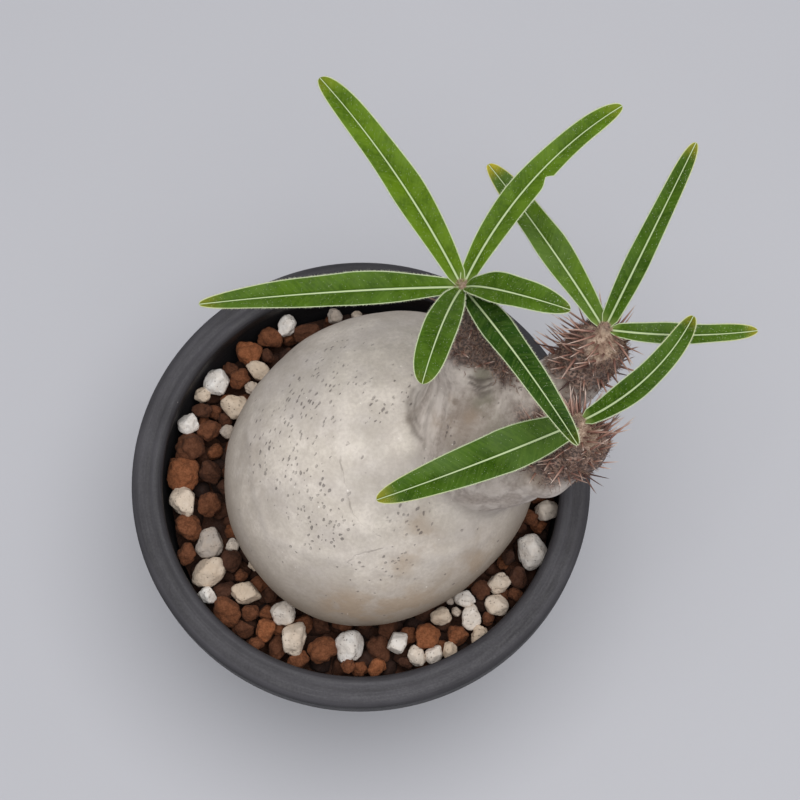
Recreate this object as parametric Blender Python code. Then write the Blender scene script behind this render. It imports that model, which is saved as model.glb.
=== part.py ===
"""Potted pachypodium: a swollen grey stem with three spiny heads and eleven leaves, in a round pot of grit.

Metres, +Z up. The origin is on the pot's axis, on the surface that the pot stands on.
"""

import math
import random

import bmesh
import bpy
import numpy as np
from mathutils import Euler, Vector
from mathutils.bvhtree import BVHTree

# Driving dimensions
POT_RADIUS = 0.060
POT_HEIGHT = 0.088
POT_MOUTH_RADIUS = 0.0519
POT_FOOT_RADIUS = 0.037
POT_WALL = 0.0045
POT_FLOOR = 0.006
LIP_DEPTH = 0.009
SOIL_TOP = 0.0735
BALL_CENTRE = np.array([0.0065, 0.0016, 0.093])
BALL_RADIUS = 0.0405
BALL_HALF_HEIGHT = 0.036
LEAF_THICKNESS = 0.0007
SPINE_RADIUS = 0.00045
GAP = 0.00035  # between pieces that touch

# Pot, turned and fired stoneware
POT_SEGMENTS = 48
POT_WALL_STEPS = 4
MOUTH_UNDERCUT = 0.0012  # how much wider the pot is inside, just under its mouth
FOOT_CHAMFER = 0.001
LIP_FALL = 0.0002  # from its inner edge to its outer one
LIP_OUTER_ROUNDING = 0.0022
LIP_INNER_ROUNDING = 0.0020
LIP_UNDER_ROUNDING = 0.0010
DRAIN_RADIUS = 0.0035
DRAIN_RING_RADIUS = 0.0175
DRAIN_COUNT = 4
DRAIN_SEGMENTS = 12
GROOVE_WIDTH = 0.006
GROOVE_DEPTH = 0.002

# Drain net, a thin perforated plastic disc
NET_RADIUS = 0.024
NET_THICKNESS = 0.0012
NET_SEGMENTS = 32
NET_HOLE_RADIUS = 0.0019
NET_HOLE_SEGMENTS = 6
NET_PITCH = 0.0078
NET_EDGE = 0.0042  # from the middle of the outermost holes to the edge, at least

# Limbs of the plant as (centre, radius) from the trunk outwards, each a chain of tapered round stretches
CROWN_RADIUS = 0.0026
NECK = [
    ((0.0210, 0.0010, 0.1110), 0.0195),
    ((0.0300, 0.0015, 0.1230), 0.0170),
]
BRANCH_A = [
    ((0.029, 0.007, 0.128), 0.0120),
    ((0.0272, 0.014, 0.140), 0.0088),
    ((0.0252, 0.022, 0.151), 0.0070),
    ((0.0244, 0.0266, 0.160), CROWN_RADIUS),
]
BRANCH_B = [
    ((0.038, 0.005, 0.122), 0.0110),
    ((0.051, 0.0135, 0.132), 0.0070),
    ((0.0576, 0.0192, 0.1385), 0.0064),
    ((0.0582, 0.0214, 0.145), CROWN_RADIUS),
]
BRANCH_C = [
    ((0.034, -0.002, 0.120), 0.0130),
    ((0.044, -0.0067, 0.130), 0.0086),
    ((0.0524, -0.0046, 0.139), 0.0066),
    ((0.0513, -0.0019, 0.147), CROWN_RADIUS),
]
TAPROOT = [
    ((0.006, 0.002, 0.068), 0.0220),
    ((0.005, 0.001, 0.050), 0.0090),
    ((0.004, 0.000, 0.036), 0.0052),
    ((0.006, -0.002, 0.022), 0.0034),
]
SIDE_ROOTS = [
    [((0.006, 0.002, 0.062), 0.0100), ((0.020, 0.012, 0.047), 0.0046), ((0.030, 0.018, 0.037), 0.0032)],
    [((0.006, 0.002, 0.062), 0.0100), ((-0.010, 0.013, 0.045), 0.0044), ((-0.019, 0.021, 0.035), 0.0032)],
    [((0.006, 0.002, 0.062), 0.0100), ((0.008, -0.014, 0.045), 0.0044), ((0.014, -0.025, 0.035), 0.0032)],
]
BALL_BULGE = (0.030, 165)  # how much farther it reaches on one side, to its radius, and that side's bearing
BALL_OVAL = (0.052, 42)  # how oval it is from above, and the bearing of its long axis
LIMB_BLEND = 0.0015
NECK_BLEND = 0.003
BRANCH_BLEND = 0.006
CREASE_DEPTH = 0.0009  # the furrow round the foot of the neck
CREASE_REACH = 0.003
BARK_CELL = 0.0019
BARK_KEPT = 0.165  # share of the triangles that stay

# Spines: where they start along a branch (0 foot, 1 crown), how many pairs, and their length
SPINES = {
    "a": (BRANCH_A, 0.34, 34, 0.0050),
    "b": (BRANCH_B, 0.45, 32, 0.0068),
    "c": (BRANCH_C, 0.36, 36, 0.0068),
}
SPINES_END = 0.97
SPIRAL_TURN = 137.5
SPIRAL_SCATTER = 14
SPINE_LEANS = (8, 42)
SPINE_SPREADS = (12, 30)
SPINE_ROOT = 0.0014
PAIR_HALF_PITCH = 0.0007
SPINE_CLEARANCE = 0.0006  # to a leaf

# Leaves: crown, bearing and its change along the leaf, rise at the stalk and droop along the leaf (degrees),
# length and width (m), how slowly it widens from the stalk, and how pointed its tip is (0.5 round, 1 pointed)
LEAVES = {
    "leaf_a1": (BRANCH_A, 120.6, 10, 24, 22, 0.0546, 0.0080, 1.1, 0.50),
    "leaf_a2": (BRANCH_A, 60, -27, 24, 18, 0.0518, 0.0076, 1.1, 0.55),
    "leaf_a3": (BRANCH_A, 191, -10, 16, 22, 0.0563, 0.0085, 1.1, 0.88),
    "leaf_a4": (BRANCH_A, 331, 12, 60, 78, 0.0276, 0.0081, 1.1, 0.75),
    "leaf_a5": (BRANCH_A, 241, 17, 48, 50, 0.0299, 0.0088, 1.0, 0.80),
    "leaf_a6": (BRANCH_A, 299, 6, 22, 32, 0.0440, 0.0088, 1.0, 0.60),
    "leaf_b1": (BRANCH_B, 121, 3.5, 6, 10, 0.0463, 0.0075, 1.1, 0.85),
    "leaf_b2": (BRANCH_B, 61, 4, 30, 24, 0.0450, 0.0059, 1.1, 0.70),
    "leaf_b3": (BRANCH_B, 351, 13, 14, 18, 0.0323, 0.0048, 1.1, 0.60),
    "leaf_c1": (BRANCH_C, 205, -4, 12, 18, 0.0473, 0.0098, 0.6, 0.95),
    "leaf_c2": (BRANCH_C, 23, 35, 30, 20, 0.0329, 0.0066, 1.1, 0.70),
}
LEAF_START = 0.0032  # from the middle of a crown to the foot of a leaf's stalk
STALK_WIDTH = 0.0019
LEAF_STATIONS = 14
LEAF_ROWS = (-1, -0.5, 0, 0.5, 1)  # across the blade, to half its width
LEAF_FOLD = 0.24  # how far each half of the blade lifts from the midrib, to its own width
LEAF_WAVE = 0.00022
LEAF_WAVES = 2.6
MIDRIB_DEPTH = 0.0004
NICKED_LEAF = "leaf_a2"
NICK_AT = 0.57
NICK_LENGTH = 0.03  # to the leaf's length
NICK_DEPTH = 0.45  # to half its width

# Grit: the pale pumice grains by bearing (degrees) and distance from the pot's axis, and width (m)
PALE_GRAINS = [
    (143, 0.0490, 0.0080), (131, 0.0440, 0.0067), (147, 0.0400, 0.0072), (151, 0.0490, 0.0044),
    (160, 0.0485, 0.0061), (137, 0.0400, 0.0040), (157, 0.0390, 0.0042), (116, 0.0495, 0.0060),
    (184, 0.0460, 0.0084), (201, 0.0420, 0.0072), (210, 0.0450, 0.0086), (216, 0.0490, 0.0053),
    (223, 0.0410, 0.0074), (239, 0.0395, 0.0074), (247, 0.0440, 0.0080), (266, 0.0420, 0.0080),
    (283, 0.0420, 0.0067), (288, 0.0470, 0.0054), (293, 0.0480, 0.0048), (298, 0.0485, 0.0044),
    (339, 0.0480, 0.0092), (325, 0.0440, 0.0060), (312, 0.0400, 0.0054), (310, 0.0450, 0.0064),
    (317, 0.0470, 0.0060), (301, 0.0400, 0.0054), (308, 0.0495, 0.0050), (352, 0.0490, 0.0064),
    (99, 0.0480, 0.0046), (62, 0.0480, 0.0062), (28, 0.0470, 0.0056),
]
BROWN_GRAIN_TRIES = 4000
BROWN_GRAIN_WIDTHS = (0.0060, 0.0094)
NEAREST_GRAIN = 0.032  # from the pot's axis
GRAIN_SPACING = 0.37  # closest centres, to the sum of two widths
GRAIN_REACH = 0.58  # a grain's farthest corner from its middle, to its width
PALE_GRAIN_LIFTS = (0.0012, 0.0020)
BROWN_GRAIN_LIFTS = (0.0002, 0.0012)
SOIL_CLEARANCE = 0.0003  # to the pot's wall, beyond the gap


def clear_scene():
    for old in list(bpy.data.objects):
        bpy.data.objects.remove(old, do_unlink=True)


def material(name, colour, roughness):
    made = bpy.data.materials.new(name)
    made.use_nodes = True
    shader = made.node_tree.nodes["Principled BSDF"]
    shader.inputs["Base Color"].default_value = (*colour, 1.0)
    shader.inputs["Roughness"].default_value = roughness
    shader.inputs["Metallic"].default_value = 0.0
    return made


def new_object(name, bm):
    """An object of this name from a bmesh, with its faces turned outwards."""
    bmesh.ops.recalc_face_normals(bm, faces=bm.faces)
    mesh = bpy.data.meshes.new(name)
    bm.to_mesh(mesh)
    bm.free()
    made = bpy.data.objects.new(name, mesh)
    bpy.context.scene.collection.objects.link(made)
    return made


def apply_modifiers(obj):
    """Bakes an object's modifiers into its mesh."""
    bpy.context.view_layer.update()
    graph = bpy.context.evaluated_depsgraph_get()
    mesh = bpy.data.meshes.new_from_object(obj.evaluated_get(graph))
    obj.modifiers.clear()
    obj.data = mesh


def finish(obj, made, sharp_from=40):
    """Gives an object its material and smooth shading that keeps edges sharper than this angle."""
    obj.data.materials.clear()
    obj.data.materials.append(made)
    obj.data.shade_smooth()
    obj.data.set_sharp_from_angle(angle=math.radians(sharp_from))


def cut(obj, cutter, solver="EXACT"):
    """Takes the cutter's shape out of obj, and removes the cutter."""
    boolean = obj.modifiers.new("cut", "BOOLEAN")
    boolean.operation = "DIFFERENCE"
    boolean.object = cutter
    boolean.solver = solver
    apply_modifiers(obj)
    bpy.data.objects.remove(cutter, do_unlink=True)


def fuse(obj, pieces):
    """Joins loose pieces to obj as one solid, and removes them."""
    loose = bpy.data.collections.new("loose")
    bpy.context.scene.collection.children.link(loose)
    for piece in pieces:
        bpy.context.scene.collection.objects.unlink(piece)
        loose.objects.link(piece)
    union = obj.modifiers.new("fuse", "BOOLEAN")
    union.operation = "UNION"
    union.operand_type = "COLLECTION"
    union.collection = loose
    union.solver = "MANIFOLD"
    apply_modifiers(obj)
    for piece in pieces:
        bpy.data.objects.remove(piece, do_unlink=True)
    bpy.data.collections.remove(loose)


def turned(name, profile, segments):
    """A solid of revolution about Z from (radius, height) points that start and end on the axis."""
    bm = bmesh.new()
    low = bm.verts.new((0, 0, profile[0][1]))
    high = bm.verts.new((0, 0, profile[-1][1]))
    rings = []
    for radius, height in profile[1:-1]:
        ring = []
        for k in range(segments):
            turn = 2 * math.pi * k / segments
            ring.append(bm.verts.new((radius * math.cos(turn), radius * math.sin(turn), height)))
        rings.append(ring)
    for k in range(segments):
        after = (k + 1) % segments
        bm.faces.new((low, rings[0][after], rings[0][k]))
        bm.faces.new((high, rings[-1][k], rings[-1][after]))
        for inner, outer in zip(rings, rings[1:]):
            bm.faces.new((inner[k], inner[after], outer[after], outer[k]))
    return new_object(name, bm)


def arc(centre, radius, start, end, steps):
    """Points (radius, height) on an arc, its angles in degrees from outwards towards up."""
    points = []
    for k in range(steps + 1):
        turn = math.radians(start + (end - start) * k / steps)
        points.append((centre[0] + radius * math.cos(turn), centre[1] + radius * math.sin(turn)))
    return points


# Pot

def wall_radius(height):
    """Inner radius of the pot at a height: a belly that leans out from the floor and ends upright."""
    rise = (height - POT_FLOOR) / (POT_HEIGHT - LIP_DEPTH - POT_FLOOR)
    foot = POT_FOOT_RADIUS - POT_WALL
    swell = math.sin(0.5 * math.pi * min(max(rise, 0), 1))
    return foot + (POT_MOUTH_RADIUS + MOUTH_UNDERCUT - foot) * swell


def make_pot():
    under_lip = POT_HEIGHT - LIP_DEPTH
    heights = np.linspace(POT_FLOOR, under_lip, POT_WALL_STEPS + 1)
    foot = [(POT_FOOT_RADIUS - FOOT_CHAMFER, 0.0), (POT_FOOT_RADIUS, FOOT_CHAMFER)]
    outer = [(wall_radius(height) + POT_WALL, height) for height in heights]
    inner = [(wall_radius(height), height) for height in heights[::-1]]
    under_edge = (POT_RADIUS - LIP_UNDER_ROUNDING, under_lip + LIP_UNDER_ROUNDING)
    outer_edge = (POT_RADIUS - LIP_OUTER_ROUNDING, POT_HEIGHT - LIP_OUTER_ROUNDING - LIP_FALL)
    inner_edge = (POT_MOUTH_RADIUS + LIP_INNER_ROUNDING, POT_HEIGHT - LIP_INNER_ROUNDING)
    lip = arc(under_edge, LIP_UNDER_ROUNDING, -90, 0, 1)
    lip += arc(outer_edge, LIP_OUTER_ROUNDING, 0, 85, 4)
    lip += arc(inner_edge, LIP_INNER_ROUNDING, 92, 180, 3)
    pot = turned("pot", [(0, 0)] + foot + outer + lip + inner + [(0, POT_FLOOR)], POT_SEGMENTS)
    for k in range(DRAIN_COUNT):
        turn = 2 * math.pi * (k + 0.5) / DRAIN_COUNT
        cut(pot, drain_cutter(turn))
        cut(pot, groove_cutter(turn))
    finish(pot, material("pot_charcoal_stoneware", (0.075, 0.072, 0.080), 0.55))


def drain_cutter(turn):
    bm = bmesh.new()
    bmesh.ops.create_cone(
        bm, cap_ends=True, segments=DRAIN_SEGMENTS,
        radius1=DRAIN_RADIUS, radius2=DRAIN_RADIUS, depth=4 * POT_FLOOR,
    )
    place = Vector((math.cos(turn), math.sin(turn), 0)) * DRAIN_RING_RADIUS
    bmesh.ops.translate(bm, verts=bm.verts, vec=place)
    return new_object("drain_cutter", bm)


def groove_cutter(turn):
    """A shallow channel from a drain hole out past the foot, so that water runs off from under the pot."""
    bm = bmesh.new()
    reach = POT_RADIUS - DRAIN_RING_RADIUS
    bmesh.ops.create_cube(bm, size=1)
    bmesh.ops.scale(bm, verts=bm.verts, vec=(reach, GROOVE_WIDTH, 2 * GROOVE_DEPTH))
    bmesh.ops.translate(bm, verts=bm.verts, vec=(DRAIN_RING_RADIUS + reach / 2, 0, 0))
    bmesh.ops.rotate(bm, verts=bm.verts, matrix=Euler((0, 0, turn)).to_matrix())
    return new_object("groove_cutter", bm)


# Drain net

def net_hole_places():
    """Middles of the holes, in staggered rows."""
    places = []
    reach = math.ceil(NET_RADIUS / NET_PITCH)
    for row in range(-reach, reach + 1):
        for column in range(-reach, reach + 1):
            across = (column + 0.5 * (row % 2)) * NET_PITCH
            along = row * NET_PITCH * math.sin(math.pi / 3)
            if math.hypot(across, along) < NET_RADIUS - NET_EDGE:
                places.append(Vector((across, along, POT_FLOOR)))
    return places


def make_drain_net():
    low = POT_FLOOR + GAP
    high = low + NET_THICKNESS
    net = turned("drain_net", [(0, low), (NET_RADIUS, low), (NET_RADIUS, high), (0, high)], NET_SEGMENTS)
    drills = []
    for place in net_hole_places():
        bm = bmesh.new()
        bmesh.ops.create_cone(
            bm, cap_ends=True, segments=NET_HOLE_SEGMENTS,
            radius1=NET_HOLE_RADIUS, radius2=NET_HOLE_RADIUS, depth=4 * NET_THICKNESS,
        )
        bmesh.ops.translate(bm, verts=bm.verts, vec=place)
        drills.append(new_object("net_drill", bm))
    drill = drills.pop()
    fuse(drill, drills)
    cut(net, drill)
    finish(net, material("net_black_plastic", (0.03, 0.03, 0.03), 0.6))


# Swollen stem, neck, branches and roots, as one smooth form

def soft_min(a, b, reach):
    """The smaller of two distances, rounded over this reach where they are alike."""
    share = np.clip(0.5 + 0.5 * (b - a) / reach, 0, 1)
    return b + (a - b) * share - reach * share * (1 - share)


def ball_distance(p):
    """The swollen stem: an egg standing upright, a little lopsided and oval as seen from above."""
    q = p - BALL_CENTRE
    bearing = np.arctan2(q[:, 1], q[:, 0])
    bulge = BALL_BULGE[0] * np.cos(bearing - math.radians(BALL_BULGE[1]))
    oval = BALL_OVAL[0] * np.cos(2 * (bearing - math.radians(BALL_OVAL[1])))
    wide = np.linalg.norm(q[:, :2], axis=1) / (BALL_RADIUS * (1 + bulge + oval))
    return (np.hypot(wide, q[:, 2] / BALL_HALF_HEIGHT) - 1) * BALL_HALF_HEIGHT


def limb_distance(p, chain):
    """Distance to a chain of tapered round stretches."""
    nearest = None
    for (start, start_radius), (end, end_radius) in zip(chain, chain[1:]):
        start = np.array(start)
        axis = np.array(end) - start
        along = np.clip((p - start) @ axis / (axis @ axis), 0, 1)
        centre = start + along[:, None] * axis
        radius = start_radius + (end_radius - start_radius) * along
        distance = np.linalg.norm(p - centre, axis=1) - radius
        nearest = distance if nearest is None else soft_min(nearest, distance, LIMB_BLEND)
    return nearest


def bark_distance(p):
    ball = ball_distance(p)
    neck = limb_distance(p, NECK)
    form = soft_min(ball, neck, NECK_BLEND) + CREASE_DEPTH * np.exp(-(((ball - neck) / CREASE_REACH) ** 2))
    for limb in [BRANCH_A, BRANCH_B, BRANCH_C, TAPROOT] + SIDE_ROOTS:
        form = soft_min(form, limb_distance(p, limb), BRANCH_BLEND)
    return form


def bark_normal(p):
    step = 0.0002
    slope = np.empty_like(p)
    for k in range(3):
        shift = np.zeros(3)
        shift[k] = step
        slope[:, k] = (bark_distance(p + shift) - bark_distance(p - shift)) / (2 * step)
    return slope


def onto_bark(p, offset=0.0):
    """Moves points onto the form's surface, or this far outside it."""
    longest_move = 0.003
    for _ in range(6):
        slope = bark_normal(p)
        steepness = np.maximum((slope**2).sum(axis=1), 0.05)
        move = (bark_distance(p) - offset)[:, None] * slope / steepness[:, None]
        length = np.linalg.norm(move, axis=1, keepdims=True)
        p = p - move * np.minimum(1, longest_move / np.maximum(length, 1e-9))
    return p


def points_of(mesh):
    points = np.empty(len(mesh.vertices) * 3)
    mesh.vertices.foreach_get("co", points)
    return points.reshape(-1, 3)


def set_points(mesh, points):
    mesh.vertices.foreach_set("co", points.ravel())
    mesh.update()


def rough_form():
    """Balls strung along every limb and a big one for the swollen stem, which a remesh then joins."""
    beads = [(BALL_CENTRE, BALL_HALF_HEIGHT)]
    for chain in [NECK, BRANCH_A, BRANCH_B, BRANCH_C, TAPROOT] + SIDE_ROOTS:
        for (start, start_radius), (end, end_radius) in zip(chain, chain[1:]):
            for share in np.linspace(0, 1, 7):
                centre = Vector(start).lerp(Vector(end), share)
                beads.append((centre, start_radius + (end_radius - start_radius) * share))
    bm = bmesh.new()
    for centre, radius in beads:
        made = bmesh.ops.create_icosphere(bm, subdivisions=3, radius=radius)
        bmesh.ops.translate(bm, verts=made["verts"], vec=centre)
    return new_object("caudex", bm)


def make_bark():
    bark = rough_form()
    remesh = bark.modifiers.new("join", "REMESH")
    remesh.mode = "VOXEL"
    remesh.voxel_size = BARK_CELL
    apply_modifiers(bark)
    set_points(bark.data, onto_bark(points_of(bark.data)))
    thin = bark.modifiers.new("thin", "DECIMATE")
    thin.ratio = BARK_KEPT
    apply_modifiers(bark)
    set_points(bark.data, onto_bark(points_of(bark.data)))
    return bark


def shell_of(bark):
    """A copy of the bark's mesh, a gap outside it, for cutting the pit it stands in."""
    shell = bpy.data.objects.new("pit_cutter", bark.data.copy())
    bpy.context.scene.collection.objects.link(shell)
    set_points(shell.data, onto_bark(points_of(bark.data), GAP))
    return shell


# Spines, in pairs on a spiral round each branch's outer part

def point_along(chain, share):
    """Centre, radius and direction at a share of a chain's length."""
    ends = [Vector(centre) for centre, _ in chain]
    lengths = [(b - a).length for a, b in zip(ends, ends[1:])]
    left = share * sum(lengths)
    for k, length in enumerate(lengths):
        if left <= length or k == len(lengths) - 1:
            part = min(left / length, 1)
            radius = chain[k][1] + (chain[k + 1][1] - chain[k][1]) * part
            return ends[k].lerp(ends[k + 1], part), radius, (ends[k + 1] - ends[k]).normalized()
        left -= length


def clear_length(foot, direction, length, leaves):
    """The longest stretch of a spine, up to length, that stays clear of the leaves."""
    clear = 0
    steps = 8
    for k in range(steps + 1):
        spot = foot + direction * length * k / steps
        if leaves.find_nearest(spot)[3] < SPINE_CLEARANCE:
            break
        clear = length * k / steps
    return clear


def spine(foot, direction, length):
    """A three-sided needle whose root is sunk in the bark."""
    bm = bmesh.new()
    side = direction.orthogonal().normalized()
    root = foot - direction * SPINE_ROOT
    corners = []
    for k in range(3):
        turn = 2 * math.pi * k / 3
        across = side * math.cos(turn) + direction.cross(side) * math.sin(turn)
        corners.append(bm.verts.new(root + across * SPINE_RADIUS))
    tip = bm.verts.new(foot + direction * length)
    bm.faces.new(corners)
    for k in range(3):
        bm.faces.new((corners[k], corners[(k + 1) % 3], tip))
    return new_object("spine", bm)


def make_spines(leaves):
    draw = random.Random(7)
    spines = []
    for branch, start, pairs, length in SPINES.values():
        for k in range(pairs):
            share = start + (SPINES_END - start) * (k + 0.5) / pairs
            centre, radius, axis = point_along(branch, share)
            turn = math.radians(SPIRAL_TURN * k + draw.uniform(-SPIRAL_SCATTER, SPIRAL_SCATTER))
            side = axis.orthogonal().normalized()
            out = side * math.cos(turn) + axis.cross(side) * math.sin(turn)
            foot = Vector(onto_bark(np.array([centre + out * radius]))[0])
            across = axis.cross(out)
            lean = math.radians(draw.uniform(*SPINE_LEANS))
            for hand in (-1, 1):
                spread = math.radians(draw.uniform(*SPINE_SPREADS)) * hand
                direction = out * math.cos(lean) + axis * math.sin(lean)
                direction = (direction * math.cos(spread) + across * math.sin(spread)).normalized()
                here = foot + across * PAIR_HALF_PITCH * hand
                reach = clear_length(here, direction, length * draw.uniform(0.75, 1.2), leaves)
                if reach > 0.5 * length:
                    spines.append(spine(here, direction, reach))
    return spines


# Leaves

def leaf_line(crown, bearing, sweep, rise, droop, length):
    """The midrib's points, from the stalk's foot to the tip, one more than LEAF_STATIONS."""
    def heading(share):
        turn = math.radians(bearing + sweep * share)
        lift = math.radians(rise - droop * share)
        return Vector((math.cos(lift) * math.cos(turn), math.cos(lift) * math.sin(turn), math.sin(lift)))

    points = [Vector(crown) + heading(0) * LEAF_START]
    for k in range(LEAF_STATIONS):
        points.append(points[-1] + heading((k + 0.5) / LEAF_STATIONS) * length / LEAF_STATIONS)
    return points


def half_width(share, width, slow, pointed):
    """Half the blade's width at a share of its length: a slim stalk, a long swell and the tip."""
    stalk = STALK_WIDTH / width
    if share < 0.5:
        return 0.5 * width * (stalk + (1 - stalk) * math.sin(math.pi * share) ** slow)
    return 0.5 * width * (1 - ((share - 0.5) / 0.5) ** 2) ** pointed


def make_leaf(name, number):
    branch, bearing, sweep, rise, droop, length, width, slow, pointed = LEAVES[name]
    line = leaf_line(branch[-1][0], bearing, sweep, rise, droop, length)
    bm = bmesh.new()
    tops = []
    unders = []
    for k, centre in enumerate(line[:-1]):
        share = k / LEAF_STATIONS
        along = (line[k + 1] - line[max(k - 1, 0)]).normalized()
        side = along.cross(Vector((0, 0, 1))).normalized()
        up = side.cross(along)
        half = half_width(share, width, slow, pointed)
        top = []
        under = []
        for u in LEAF_ROWS:
            reach = half * u
            if name == NICKED_LEAF and u > 0:
                reach *= 1 - NICK_DEPTH * math.exp(-(((share - NICK_AT) / NICK_LENGTH) ** 2))
            phase = 2 * math.pi * (LEAF_WAVES * share + 0.17 * number) + u
            wave = LEAF_WAVE * math.sin(phase) * abs(u) * min(1, 6 * share)
            lift = LEAF_FOLD * half * (1.5 * abs(u) - 0.5 * u * u) + wave
            spot = centre + side * reach + up * lift
            depth = LEAF_THICKNESS + (MIDRIB_DEPTH if u == 0 else 0)
            top.append(bm.verts.new(spot))
            under.append(bm.verts.new(spot - up * depth))
        tops.append(top)
        unders.append(under)
    tip_top = bm.verts.new(line[-1])
    tip_under = bm.verts.new(line[-1] - Vector((0, 0, LEAF_THICKNESS)))
    gaps = range(len(LEAF_ROWS) - 1)
    for rows, tip in ((tops, tip_top), (unders, tip_under)):
        for near, far in zip(rows, rows[1:]):
            for j in gaps:
                bm.faces.new((near[j], near[j + 1], far[j + 1]))
                bm.faces.new((near[j], far[j + 1], far[j]))
        for j in gaps:
            bm.faces.new((rows[-1][j], rows[-1][j + 1], tip))
    for edge in (0, -1):
        for k in range(LEAF_STATIONS - 1):
            bm.faces.new((tops[k][edge], tops[k + 1][edge], unders[k + 1][edge], unders[k][edge]))
        bm.faces.new((tops[-1][edge], tip_top, tip_under, unders[-1][edge]))
    bm.faces.new(tops[0] + unders[0][::-1])
    leaf = new_object(name, bm)
    finish(leaf, material(f"{name}_green", (0.105, 0.205, 0.035), 0.45), 60)
    return leaf


def tree_of(objects):
    """One search tree over all these objects' faces."""
    joined = bmesh.new()
    for obj in objects:
        joined.from_mesh(obj.data)
    tree = BVHTree.FromBMesh(joined)
    joined.free()
    return tree


# Grit

def grain(place, width, draw):
    """A rough stone with twenty faces."""
    bm = bmesh.new()
    bmesh.ops.create_icosphere(bm, subdivisions=1, radius=0.5 * width)
    for vert in bm.verts:
        vert.co *= draw.uniform(0.86, 1.08)
    bmesh.ops.scale(bm, verts=bm.verts, vec=(draw.uniform(0.95, 1.10), draw.uniform(0.82, 1.0), 0.9))
    spin = Euler((draw.uniform(-0.4, 0.4), draw.uniform(-0.4, 0.4), draw.uniform(0, 2 * math.pi)))
    bmesh.ops.rotate(bm, verts=bm.verts, matrix=spin.to_matrix())
    bmesh.ops.translate(bm, verts=bm.verts, vec=place)
    return new_object("grain", bm)


def in_sight(place, width):
    """Whether a grain shows beside the swollen stem, seen from above, and isn't deep inside it."""
    level = np.array([(place.x, place.y, BALL_CENTRE[2])])
    return ball_distance(level)[0] > -0.6 * width and bark_distance(np.array([place]))[0] > 0.2 * width


def grain_places(draw):
    """(place, width) of each grain: the pale ones by hand, then brown ones wherever there is room."""
    def spot(turn, distance, lifts):
        return Vector((distance * math.cos(turn), distance * math.sin(turn), SOIL_TOP + draw.uniform(*lifts)))

    placed = []
    wall = wall_radius(SOIL_TOP) - GAP - SOIL_CLEARANCE
    for bearing, distance, width in PALE_GRAINS:
        distance = min(distance, wall - GRAIN_REACH * width)
        placed.append((spot(math.radians(bearing), distance, PALE_GRAIN_LIFTS), width))
    for _ in range(BROWN_GRAIN_TRIES):
        width = draw.uniform(*BROWN_GRAIN_WIDTHS)
        turn = draw.uniform(0, 2 * math.pi)
        place = spot(turn, draw.uniform(NEAREST_GRAIN, wall - GRAIN_REACH * width), BROWN_GRAIN_LIFTS)
        clear = all((place - other).length > GRAIN_SPACING * (width + size) for other, size in placed)
        if clear and in_sight(place, width):
            placed.append((place, width))
    return placed


def make_substrate(shell):
    low = POT_FLOOR + NET_THICKNESS + 2 * GAP
    side = []
    for height in np.linspace(low, SOIL_TOP, POT_WALL_STEPS + 1):
        side.append((wall_radius(height) - GAP - SOIL_CLEARANCE, height))
    soil = turned("substrate", [(0, low)] + side + [(0, SOIL_TOP)], POT_SEGMENTS)
    draw = random.Random(11)
    fuse(soil, [grain(place, width, draw) for place, width in grain_places(draw)])
    cut(soil, shell, solver="MANIFOLD")
    finish(soil, material("grit_brown_clay", (0.14, 0.055, 0.025), 0.95), 20)


clear_scene()
make_pot()
make_drain_net()
caudex = make_bark()
make_substrate(shell_of(caudex))
leaves = [make_leaf(name, number) for number, name in enumerate(LEAVES)]
fuse(caudex, make_spines(tree_of(leaves)))
finish(caudex, material("caudex_grey_bark", (0.46, 0.41, 0.36), 0.7), 60)
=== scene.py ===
import math
import random

import bmesh
import bpy
import numpy as np
from mathutils import Euler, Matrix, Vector, noise
from mathutils.bvhtree import BVHTree


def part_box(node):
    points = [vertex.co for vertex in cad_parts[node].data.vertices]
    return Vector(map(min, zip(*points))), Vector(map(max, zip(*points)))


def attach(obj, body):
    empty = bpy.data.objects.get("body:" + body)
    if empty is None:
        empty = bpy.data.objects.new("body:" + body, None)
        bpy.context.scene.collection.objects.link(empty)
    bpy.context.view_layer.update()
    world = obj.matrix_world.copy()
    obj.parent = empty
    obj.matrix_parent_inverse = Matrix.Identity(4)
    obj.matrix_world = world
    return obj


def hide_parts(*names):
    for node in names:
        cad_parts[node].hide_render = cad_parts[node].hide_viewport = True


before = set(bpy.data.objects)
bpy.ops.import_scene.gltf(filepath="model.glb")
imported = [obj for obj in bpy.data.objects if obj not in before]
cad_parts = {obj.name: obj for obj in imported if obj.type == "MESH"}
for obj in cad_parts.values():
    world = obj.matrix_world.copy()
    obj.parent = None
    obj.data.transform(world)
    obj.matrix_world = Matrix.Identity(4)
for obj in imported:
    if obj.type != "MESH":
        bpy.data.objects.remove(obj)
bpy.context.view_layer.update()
scene = bpy.context.scene


# The studio is a plain pale table top under one wide soft lamp almost straight above, with weak light from
# all round, as in the photograph. It is only there to show the plant, and none of it is kept with the part.
CAMERA_PLACE = (0.0102, -0.1184, 0.5662)
CAMERA_DOWN = 73.78  # degrees below the horizon
CAMERA_LENS = 85  # mm
CAMERA_SENSOR = 36  # mm
TABLE_REACH = 5.0
LAMP_PLACE = (0.10, -0.08, 1.40)
LAMP_SIZE = 1.1
LAMP_POWER = 13.8
ROOM_LIGHT = 0.41
ROOM_TINT = (0.97, 0.985, 1.0, 1.0)


def tone(red, green, blue):
    """A colour as it looks on a screen (0 to 255), as the linear values that a shader takes."""
    def linear(value):
        share = value / 255
        return share / 12.92 if share <= 0.04045 else ((share + 0.055) / 1.055) ** 2.4

    return (linear(red), linear(green), linear(blue), 1.0)


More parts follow.
